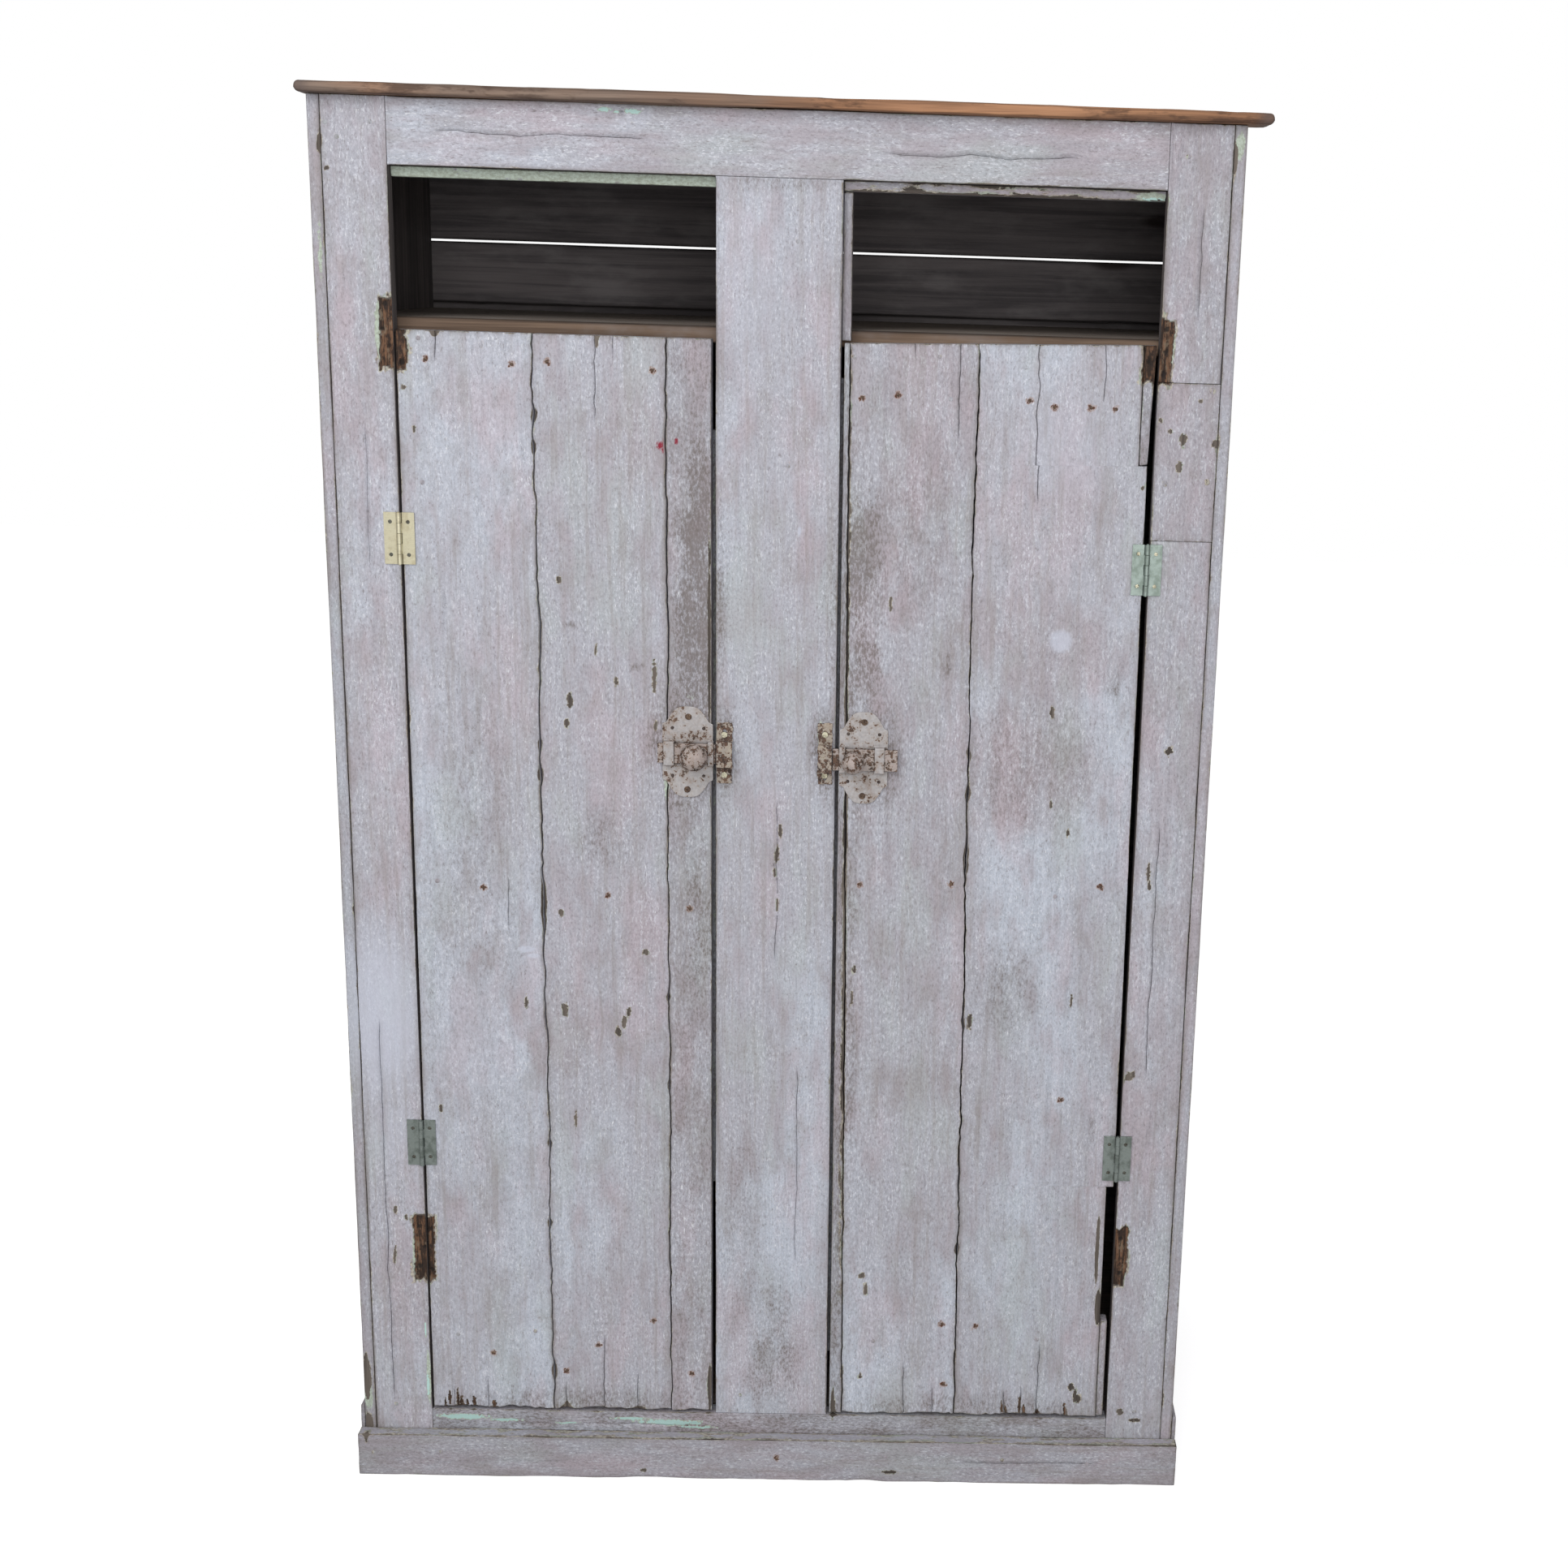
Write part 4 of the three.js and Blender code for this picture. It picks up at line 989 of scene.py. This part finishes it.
def painted_iron(name, paint, gone_from):
    """Iron under old paint that has blistered off in spots. gone_from is where rust starts."""
    s = Shader(name, specular=0.35)
    place = s.place()
    patches = s.noise(place, (90, 90, 90), 5, 0.68)
    pits = s.noise(place, (340, 340, 340), 4, 0.62)
    runs = s.noise(place, (60, 60, 24), 3)
    # Occlusion of the hollows and of the edges that meet the door: rust starts there, and painted
    # shade darkens them
    crevice_shade_and_rust = s.node("AmbientOcclusion", "AO", {"samples": 8}, Distance=7 * MM)
    colour = s.mix(s.between(patches, 0.4, 0.6), paint, (156, 148, 144))
    colour = s.bright(colour, 0.60 + pits * 0.8)
    rust = s.mix(s.between(pits, 0.42, 0.62), (44, 36, 33), (98, 76, 64))
    line = patches * 0.55 + pits * 0.45 + s.between(crevice_shade_and_rust, 0.75, 0.25) * 0.06
    gone = s.between(line, gone_from, gone_from + 0.02)
    colour = s.tint(colour, s.between(line, gone_from - 0.035, gone_from) * 0.5, 142, 122, 104)
    colour = s.mix(gone, colour, rust)
    colour = s.tint(colour, s.between(runs, 0.56, 0.7) * 0.25, 128, 96, 70)
    # Painted shade: dark brown in the hollows and along the edges against the door, partly dirt,
    # partly shade under the bar and knob
    colour = s.tint(colour, s.between(crevice_shade_and_rust, 0.92, 0.30) * 0.75, 58, 46, 42)
    return s.finish(colour, 0.50 + gone * 0.3, pits * 0.8 - gone * 0.6, 0.35)


def rust_metal(name, dark, light, bloom_colour):
    """Nail and screw heads: brown rust with a paler bloom."""
    s = Shader(name)
    place = s.place()
    pits = s.noise(place, (800, 800, 800), 4, 0.65)
    bloom = s.noise(place, (160, 160, 160), 3)
    colour = s.mix(s.between(pits, 0.4, 0.62), dark, light)
    colour = s.tint(colour, s.between(bloom, 0.5, 0.7) * 0.5, *bloom_colour)
    return s.finish(colour, 0.7 + pits * 0.2, pits, 0.3)


PAINT = painted_wood()
AGED = aged_wood("aged_wood", (60, 57, 59), (108, 102, 102))
SHELF_WOOD = aged_wood("shelf_wood", (64, 50, 42), (128, 108, 92))
TOP_WOOD = top_wood()
BRASS = plated_metal("brass", (204, 198, 172), (168, 156, 126), 0.5, 0.32)
ZINC_BRIGHT = plated_metal("zinc_bright", (146, 158, 152), (112, 124, 114), 0.6, 0.36)
ZINC_DULL = plated_metal("zinc_dull", (140, 148, 144), (98, 106, 100), 0.7, 0.38)
IRON_PLATE = painted_iron("painted_iron_plate", (164, 160, 160), 0.556)
IRON_BAR = painted_iron("painted_iron_bar", (160, 147, 142), 0.510)
IRON_KEEPER = painted_iron("painted_iron_keeper", (156, 146, 134), 0.49)
RUST = rust_metal("rust", (52, 42, 38), (104, 84, 70), (132, 108, 86))
RUST_DARK = rust_metal("rust_dark", (46, 38, 36), (84, 72, 66), (120, 108, 100))
SCREW_BRIGHT = plated_metal("screw_bright", (196, 192, 170), (128, 120, 100), 0.6, 0.3)
SCREW_DULL = plated_metal("screw_dull", (112, 112, 104), (78, 70, 62), 0.8, 0.42)


# ---- boards of the hutch ------------------------------------------------------------------------

# Grid steps across and along the grain, in mm
FINE = (7.0, 6.0)
TOP_STEPS = (9.0, 8.0)
MEDIUM = (12.0, 12.0)
COARSE = (22.0, 18.0)

# Name, then what differs from a plain board. Cracks: place across, start, end, width.
FRONT_BOARDS = {
    "left_stile": dict(along=Z, mauve=(0.0, 0.6), tone=(1.07, 1.0), raw_sides=[(X, 1), (Y, 1)],
                       cracks=[(-482, 100, 610, 0.5), (-470, 1170, 1330, 0.4)]),
    "right_stile": dict(along=Z, mauve=(0.35, 0.85), tone=(0.98, 0.95), raw_sides=[(X, -1), (Y, 1)],
                        recess=(1225, 1407, 10),
                        cracks=[(462, 560, 880, 0.5), (476, 1480, 1600, 0.4)]),
    "right_stile_patch": dict(along=Z, mauve=0.9, tone=0.95, wear=0.6),
    "centre_stile": dict(along=Z, mauve=0.15, tone=1.0, raw_sides=[(Y, 1)],
                         cracks=[(2, 700, 900, 0.5), (30, 300, 560, 0.35)]),
    "top_rail": dict(along=X, mauve=(0.35, 0.85), tone=(1.0, 0.975), raw_sides=[(Y, 1), (Z, -1)],
                     cracks=[(1655, -380, -150, 0.4), (1648, 120, 330, 0.4)]),
    "bottom_rail": dict(along=X, mauve=0.25, tone=0.93, grime=0.5, raw_sides=[(Y, 1)],
                        cracks=[(66, -330, -120, 0.5)]),
    "plinth_front": dict(along=X, mauve=0.85, tone=0.88, wear=1.5, grime=0.12, dusty=True,
                         cracks=[(30, 250, 420, 0.4)]),
    "left_head_strip": dict(along=X, mint=0.9, tone=0.90, grime=0.30, raw_sides=[(Y, 1)]),
    "right_head_strip": dict(along=X, mauve=0.9, tone=0.96, raw_sides=[(Y, 1)]),
    "right_jamb_strip": dict(along=Z, mauve=0.7, tone=0.93, raw_sides=[(Y, 1), (X, 1)]),
    "left_door_stop": dict(along=Z, mint=0.45, tone=0.72, grime=0.6),
    "right_door_stop": dict(along=Z, mint=0.15, tone=0.6, grime=0.7),
}

DOOR_BOARDS = {
    "left_door_board_hinge": dict(mauve=0.05, tone=1.02, cracks=[
        (-363, 84, 128, 0.6), (-387, 1405, 1446, 0.7), (-320, 735, 800, 0.5)]),
    "left_door_board_middle": dict(mauve=0.3, tone=1.0, cracks=[
        (-262, 84, 125, 0.6), (-214, 84, 190, 0.8), (-171, 84, 140, 0.6), (-208, 1345, 1446, 0.7),
        (-187, 1415, 1446, 0.6)]),
    "left_door_board_latch": dict(mauve=0.5, tone=(1.01, 0.93), grime=0.28),
    "right_door_lip": dict(mauve=0.3, tone=0.90, grime=0.5, wear=1.3),
    "right_door_board_latch": dict(mauve=(0.1, 0.6), tone=(1.03, 0.96), grime=0.08, cracks=[
        (215.5, 1335, 1450, 0.8), (165, 84, 160, 0.6), (205, 84, 130, 0.6),
        (160, 1425, 1450, 0.7)]),
    "right_door_board_hinge": dict(mauve=0.15, tone=(0.97, 1.0), cracks=[
        (302, 1266, 1452, 0.8), (299, 84, 122, 1.4), (321, 84, 128, 1.3), (345, 84, 190, 0.6),
        (380, 84, 112, 0.8), (382, 1378, 1452, 0.7)]),
    "right_door_edge_upper": dict(mauve=0.2, tone=0.90, grime=0.35, spread=5.0),
    "right_door_edge_lower": dict(mauve=0.6, tone=0.93, grime=0.4),
}


def build_front():
    for i, (node, options) in enumerate(FRONT_BOARDS.items()):
        make_board(node, PAINT, FINE, skins=True, seed=100 + 17 * i, front=True, **options)
    for i, (node, options) in enumerate(DOOR_BOARDS.items()):
        make_board(node, PAINT, FINE, skins=True, along=Z, seed=500 + 17 * i, front=True,
                   fitted=True, ragged=2.6, raw_sides=[(Y, 1)], **options)


def build_sides():
    for side, sign in (("left", -1), ("right", 1)):
        for i, part in enumerate(("front", "rear")):
            node = f"{side}_side_board_{part}"
            make_board(node, PAINT, MEDIUM, along=Z, seed=700 + 50 * (sign > 0) + 9 * i,
                       mauve=0.35, tone=0.98, raw_sides=[(X, -sign)], front=part == "front")
        node = f"plinth_{side}"
        make_board(node, PAINT, MEDIUM, along=Y, seed=760 + sign, mauve=0.8, tone=0.9, wear=1.4)


def build_unpainted():
    back = sorted(n for n in frame["nodes"] if n.startswith("back_board_"))
    for i, node in enumerate(back):
        make_board(node, AGED, COARSE, along=X, seed=800 + 13 * i, tone=0.84 + 0.10 * (3 * i % 4),
                   grown={Z: 0.7}, wear=2.0, raw_sides=[(Y, 1)])
    shelves = ("upper_shelf_front", "upper_shelf_rear", "floor_board")
    cleats = ("left_shelf_cleat", "right_shelf_cleat")
    ledges = sorted(n for n in frame["nodes"] if "_door_ledge_" in n)
    # The shelves' raw_sides (Z, 1) make their upper faces paler: painted light on the tops
    for nodes, material, seed, options in (
        (shelves, SHELF_WOOD, 900, dict(along=X, tone=1.12, raw_sides=[(Z, 1)])),
        (cleats, AGED, 940, dict(along=Y)),
        (ledges, AGED, 960, dict(along=X, tone=1.05)),
    ):
        for i, node in enumerate(nodes):
            make_board(node, material, MEDIUM, seed=seed + 13 * i, **options)
    for i, node in enumerate(("top_board_front", "top_board_rear")):
        make_board(node, TOP_WOOD, TOP_STEPS, along=X, seed=1100 + 13 * i, wear=2.6, tone=0.97,
                   relief=4.0, mauve=(1.0, 0.1), blunt=2.4)


# ---- hardware -----------------------------------------------------------------------------------

# Rings of a domed head, from its rim to its front: share of the radius, share of the way forward
DOME_RINGS = [(1.0, 0.0), (1.0, 0.6), (0.72, 0.92), (0.3, 1.0)]
WEDGE_STEPS = 8

# How far the plinth's face stands before the front and where it ends, in mm
PLINTH_FORWARD = 19.3
PLINTH_TOP = 52

PLAIN_PAINT = {"stains": (0.0, 0.12, 0.25), "wear": (0.35, 0.25, 0.4), "state": (0.0, 0.97, 0.0),
               "marks": (0.0, 0.0, 0.0)}


def copy_of(node, name):
    obj = linked(bpy.data.objects.new(name, frame["nodes"][node].data.copy()))
    obj.data.materials.clear()
    work = bmesh.new()
    work.from_mesh(obj.data)
    bmesh.ops.remove_doubles(work, verts=work.verts, dist=0.005 * MM)
    bmesh.ops.dissolve_limit(work, angle_limit=math.radians(1), verts=work.verts, edges=work.edges)
    work.to_mesh(obj.data)
    work.free()
    return obj


def pressed_metal(node, material, bevel):
    """Sheet metal with eased edges, from the CAD shape."""
    obj = copy_of(node, node + "_metal")
    ease = obj.modifiers.new("eased_edges", "BEVEL")
    ease.width = bevel * MM
    ease.segments = 2
    ease.limit_method = "ANGLE"
    ease.angle_limit = math.radians(35)
    obj.data.shade_smooth()
    obj.data.set_sharp_from_angle(angle=math.radians(40))
    obj.data.materials.append(material)
    return stand_for(obj, node)


def corroded_metal(node, material, cell, relief, seed, dents=(), eaten=0.0):
    """Metal swollen and pitted by rust under paint.

    dents are (x, z, radius, depth) in mm. eaten is how far its outline wavers, in mm.
    """
    obj = copy_of(node, node + "_metal")
    remesh = obj.modifiers.new("remesh", "REMESH")
    remesh.mode = "VOXEL"
    remesh.voxel_size = cell * MM
    remesh.use_smooth_shade = True
    graph = bpy.context.evaluated_depsgraph_get()
    mesh = bpy.data.meshes.new_from_object(obj.evaluated_get(graph), depsgraph=graph)
    obj.modifiers.clear()
    obj.data = mesh
    points, normals = read_points(mesh, "co"), read_points(mesh, "normal")
    swelling = 0.6 * noise(points, 260, seed) + 0.4 * noise(points, 620, seed + 1)
    push = relief * swelling - 0.4 * relief
    x, z = front_place(points)
    for dx, dz, radius, depth in dents:
        hit = bump_at(np.hypot(x - dx, z - dz), 0, radius)
        push -= depth * hit * (normals[:, Y] < -0.3)
    points += normals * push[:, None] * MM
    for axis in (X, Z):
        waver = noise(points, 95, seed + 4 + axis) + 0.6 * noise(points, 260, seed + 8 + axis)
        points[:, axis] += eaten * waver * MM
    mesh.vertices.foreach_set("co", points.astype(np.float32).ravel())
    mesh.update()
    mesh.shade_smooth()
    mesh.materials.clear()
    mesh.materials.append(material)
    return stand_for(obj, node)


def around(angle):
    """The direction at an angle round the Y axis."""
    return Vector((math.cos(angle), 0, math.sin(angle)))


def add_wall(work, lower, upper):
    """Quads between two rings of vertices."""
    for i in range(len(lower)):
        j = (i + 1) % len(lower)
        work.faces.new([lower[i], lower[j], upper[j], upper[i]])


def add_wedge(work, centre, radius, start, end, inner, back, front):
    """A slice of a round head, between two angles, kept inner away from its straight sides."""
    quarter = end - start < 3
    centre = centre + around((start + end) / 2) * inner * (1.4 if quarter else 1.0)
    turns = [start + (end - start) * i / WEDGE_STEPS for i in range(WEDGE_STEPS + 1)]
    outline = [around(angle) * (radius - inner) for angle in turns]
    if quarter:
        outline.insert(0, Vector((0, 0, 0)))
    lower = [work.verts.new(centre + p + Vector((0, back, 0))) for p in outline]
    upper = [work.verts.new(centre + p * 0.9 + Vector((0, front, 0))) for p in outline]
    work.faces.new(lower)
    work.faces.new(upper[::-1])
    add_wall(work, lower, upper)


def add_dome(work, centre, radius, back, front, sides=14):
    """A round, slightly domed head that faces -Y."""
    loops = []
    for share, forward in DOME_RINGS:
        ring_centre = centre + Vector((0, back + (front - back) * forward, 0))
        turns = [2 * math.pi * i / sides for i in range(sides)]
        loops.append([work.verts.new(ring_centre + around(a) * radius * share) for a in turns])
    for lower, upper in zip(loops, loops[1:]):
        add_wall(work, lower, upper)
    work.faces.new(loops[0][::-1])
    work.faces.new(loops[-1])


def domes(name, places, radius, back, front, material, body, slot):
    """Small round heads at places on the front, all in mm. On the plinth they stand on its face."""
    def build(work):
        for x, z in places:
            centre = on_front(x, z, -PLINTH_FORWARD if z < PLINTH_TOP else 0.0)
            add_dome(work, centre, radius * MM, back * MM, -front * MM, 12)

    return joined_piece(name, build, material, body, slot)


def joined_piece(name, build, material, body, slot):
    work = bmesh.new()
    build(work)
    bmesh.ops.recalc_face_normals(work, faces=work.faces)
    mesh = bpy.data.meshes.new(name)
    work.to_mesh(mesh)
    work.free()
    mesh.shade_smooth()
    mesh.set_sharp_from_angle(angle=math.radians(35))
    mesh.materials.append(material)
    obj = linked(bpy.data.objects.new(name, mesh))
    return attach(obj, body)


def on_front(x, z, y=0.0):
    """A point in the row frame from a place on the front, y in mm behind its face."""
    return Vector((MIDDLE_X + x * MM, FACE_Y + y * MM, z * MM))


def slotted_screws(name, places, radius, front, material, body, slot, turn=0.4, crossed=False):
    """Countersunk heads. places are (x, z) in mm, front is how far they stand from the face."""
    groove = 0.12 * radius

    def build(work):
        for i, (x, z) in enumerate(places):
            centre = on_front(x, z)
            angle = turn + 1.1 * i
            add_dome(work, centre, radius * 0.96 * MM, (-front + 1.6) * MM, (-front + 0.7) * MM)
            quarters = 4 if crossed else 2
            for k in range(quarters):
                start = angle + 2 * math.pi * k / quarters
                end = start + 2 * math.pi / quarters
                add_wedge(work, centre, radius * MM, start, end, groove * MM,
                          (-front + 0.9) * MM, -front * MM)

    return joined_piece(name, build, material, body, slot)


HINGES = {
    "left_upper": (BRASS, SCREW_DULL, "left_door", "brass"),
    "left_lower": (ZINC_DULL, SCREW_DULL, "left_door", "zinc_dull"),
    "right_upper": (ZINC_BRIGHT, SCREW_BRIGHT, "right_door", "zinc_bright"),
    "right_lower": (ZINC_DULL, SCREW_DULL, "right_door", "zinc_dull"),
}

# Places on a hinge, in mm: its screws from a leaf's ends and from the axis, and the axis from the
# door leaf's edge
SCREW_FROM_END = 11.0
SCREW_FROM_AXIS = 10.2
AXIS_FROM_EDGE = 3

# Rivets of a bolt plate, from its middle, in mm
RIVET_X, RIVET_Z = 18.5, 29

# Where the doors are on the front: distance from the middle, and height
DOORS_X = (72, 432)
DOORS_Z = (84, 1448)


def build_hinges():
    for place, (metal, screw_metal, door, slot) in HINGES.items():
        low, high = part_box(f"{place}_hinge_door_leaf")
        side = 1 if place.startswith("left") else -1
        axis_x = (low.x if side > 0 else high.x) - MIDDLE_X + side * AXIS_FROM_EDGE * MM
        heights = [low.z / MM + SCREW_FROM_END, high.z / MM - SCREW_FROM_END]
        for leaf, sign, body in (("frame", -side, "cabinet"), ("door", side, door)):
            pressed_metal(f"{place}_hinge_{leaf}_leaf", metal, 0.25)
            x = axis_x / MM + sign * SCREW_FROM_AXIS
            slotted_screws(f"{place}_{leaf}_leaf_screws", [(x, z) for z in heights], 2.2, 1.5,
                           screw_metal, body, slot, crossed=True)


def front_middle(low, high):
    return ((low.x + high.x) / 2 - MIDDLE_X) / MM


def build_bolts():
    for side, seed in (("left", 31), ("right", 57)):
        low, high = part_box(f"{side}_bolt_plate")
        door = f"{side}_door"
        x = front_middle(low, high)
        z = (low.z + high.z) / 2 / MM
        rivets = [(x + dx, z + dz) for dx in (-RIVET_X, RIVET_X) for dz in (-RIVET_Z, RIVET_Z)]
        dents = [(*rivet, 2.4, 1.0) for rivet in rivets]
        corroded_metal(f"{side}_bolt_plate", IRON_PLATE, 0.6, 0.16, seed, dents)
        corroded_metal(f"{side}_bolt_bar", IRON_BAR, 0.6, 0.30, seed + 5)
        corroded_metal(f"{side}_bolt_keeper", IRON_KEEPER, 0.55, 0.30, seed + 9, eaten=1.1)
        domes(f"{side}_bolt_rivets", rivets, 2.0, 0, 2.75, RUST_DARK, door, "painted_iron")
        heads = [(x + 0.5, high.z / MM - 12.5), (x - 1.0, low.z / MM + 9.5)]
        slotted_screws(f"{side}_bolt_plate_screws", heads, 4.0, 2.9, RUST, door,
                       "painted_iron", 1.4)
        low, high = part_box(f"{side}_bolt_keeper")
        x = front_middle(low, high)
        heads = [(x, high.z / MM - 14.5), (x, low.z / MM + 10.5)]
        slotted_screws(f"{side}_keeper_screws", heads, 3.6, 3.0, SCREW_BRIGHT, "cabinet",
                       "rusted_iron", 0.5, True)


def body_at(x, z):
    """The body whose face a front place lies on."""
    if DOORS_Z[0] < z < DOORS_Z[1] and DOORS_X[0] < abs(x) < DOORS_X[1]:
        return "left_door" if x < 0 else "right_door"
    return "cabinet"


def build_nails():
    for name, places, material, radius, front in (
        ("rusted_nails", RUSTED_NAILS, RUST, 2.3, 0.35),
        ("painted_nails", PAINTED_NAILS, PAINT, 2.9, 0.45),
        ("patch_screws", PATCH_SCREWS, PAINT, 4.0, 0.6),
    ):
        for body in ("cabinet", "left_door", "right_door"):
            chosen = [place for place in places if body_at(*place) == body]
            if chosen:
                obj = domes(f"{body}_{name}", chosen, radius, 1.2, front, material, body,
                            "painted_wood")
                if material is PAINT:
                    paint_attributes(obj)


def paint_attributes(obj):
    """Plain paint on a small piece: the same attributes that a board has."""
    points = read_points(obj.data, "co")
    set_attribute(obj.data, "grain", points[:, [X, Z, Y]])
    for key, values in PLAIN_PAINT.items():
        set_attribute(obj.data, key, np.tile(values, (len(points), 1)))


# ---- stage --------------------------------------------------------------------------------------

# Angles in radians, sensor and lens in mm
CAMERA_PLACE = (0.1648, -2.6298, 1.5190)
CAMERA_YAW = 0.03116
CAMERA_PITCH = 0.24191
CAMERA_ROLL = 0.03209
SENSOR = 36.0
LENS = 47.26
SHIFT_X = -0.1271


def build_camera():
    forward_flat = Vector((math.sin(CAMERA_YAW), math.cos(CAMERA_YAW), 0))
    right = Vector((math.cos(CAMERA_YAW), -math.sin(CAMERA_YAW), 0))
    up_axis = Vector((0, 0, 1))
    forward = forward_flat * math.cos(CAMERA_PITCH) - up_axis * math.sin(CAMERA_PITCH)
    up = up_axis * math.cos(CAMERA_PITCH) + forward_flat * math.sin(CAMERA_PITCH)
    rolled_right = right * math.cos(CAMERA_ROLL) + up * math.sin(CAMERA_ROLL)
    rolled_up = up * math.cos(CAMERA_ROLL) - right * math.sin(CAMERA_ROLL)
    turn = Matrix((rolled_right, rolled_up, -forward)).transposed().to_4x4()
    data = bpy.data.cameras.new("camera")
    data.sensor_width = SENSOR
    data.lens = LENS
    data.shift_x = SHIFT_X
    camera = linked(bpy.data.objects.new("camera", data))
    camera.matrix_world = Matrix.Translation(CAMERA_PLACE) @ turn
    bpy.context.scene.camera = camera


def area_light(name, place, size, power):
    data = bpy.data.lights.new(name, "AREA")
    data.shape = "DISK"
    data.size = size
    data.energy = power
    light = bpy.data.objects.new(name, data)
    direction = Vector(LIT_POINT) - Vector(place)
    turn = direction.to_track_quat("-Z", "Y").to_matrix().to_4x4()
    light.matrix_world = Matrix.Translation(place) @ turn
    linked(light)


FLOOR_HALF = 9
FLOOR_Z = -0.0005
FLOOR_GLOW = 0.52
WORLD_LIGHT = 0.55

# Soft lights: name, place, size and power. All of them face one point.
LIT_POINT = (0, 0, 1.1)
LIGHTS = [("key", (-1.4, -2.8, 3.6), 2.2, 62.0), ("front", (0.35, -3.3, 1.75), 1.6, 42.0)]


def build_stage():
    corners = [(-1, -1), (1, -1), (1, 1), (-1, 1)]
    points = np.array([(FLOOR_HALF * x, FLOOR_HALF * y, FLOOR_Z) for x, y in corners])
    floor = new_mesh_object("floor", points, np.array([[0, 1, 2, 3]]))
    paper = Shader("floor", specular=0.1, roughness=0.9)
    paper.bsdf.inputs["Emission Color"].default_value = (1.0, 1.0, 1.0, 1.0)
    paper.bsdf.inputs["Emission Strength"].default_value = FLOOR_GLOW
    floor.data.materials.append(paper.finish((246, 246, 246)))
    floor.visible_diffuse = False
    floor.visible_glossy = False
    world = bpy.data.worlds.new("studio")
    bpy.context.scene.world = world
    world.use_nodes = True
    tree = world.node_tree
    background = tree.nodes["Background"]
    rays = tree.nodes.new("ShaderNodeLightPath")
    level = tree.nodes.new("ShaderNodeMapRange")
    level.inputs["To Min"].default_value = WORLD_LIGHT
    level.inputs["To Max"].default_value = 1.0
    tree.links.new(rays.outputs["Is Camera Ray"], level.inputs["Value"])
    tree.links.new(level.outputs["Result"], background.inputs["Strength"])
    background.inputs["Color"].default_value = (1.0, 1.0, 1.0, 1.0)
    for light in LIGHTS:
        area_light(*light)


bpy.context.scene.view_settings.view_transform = "Standard"

build_camera()
build_front()
build_sides()
build_unpainted()
build_hinges()
build_bolts()
build_nails()
build_stage()
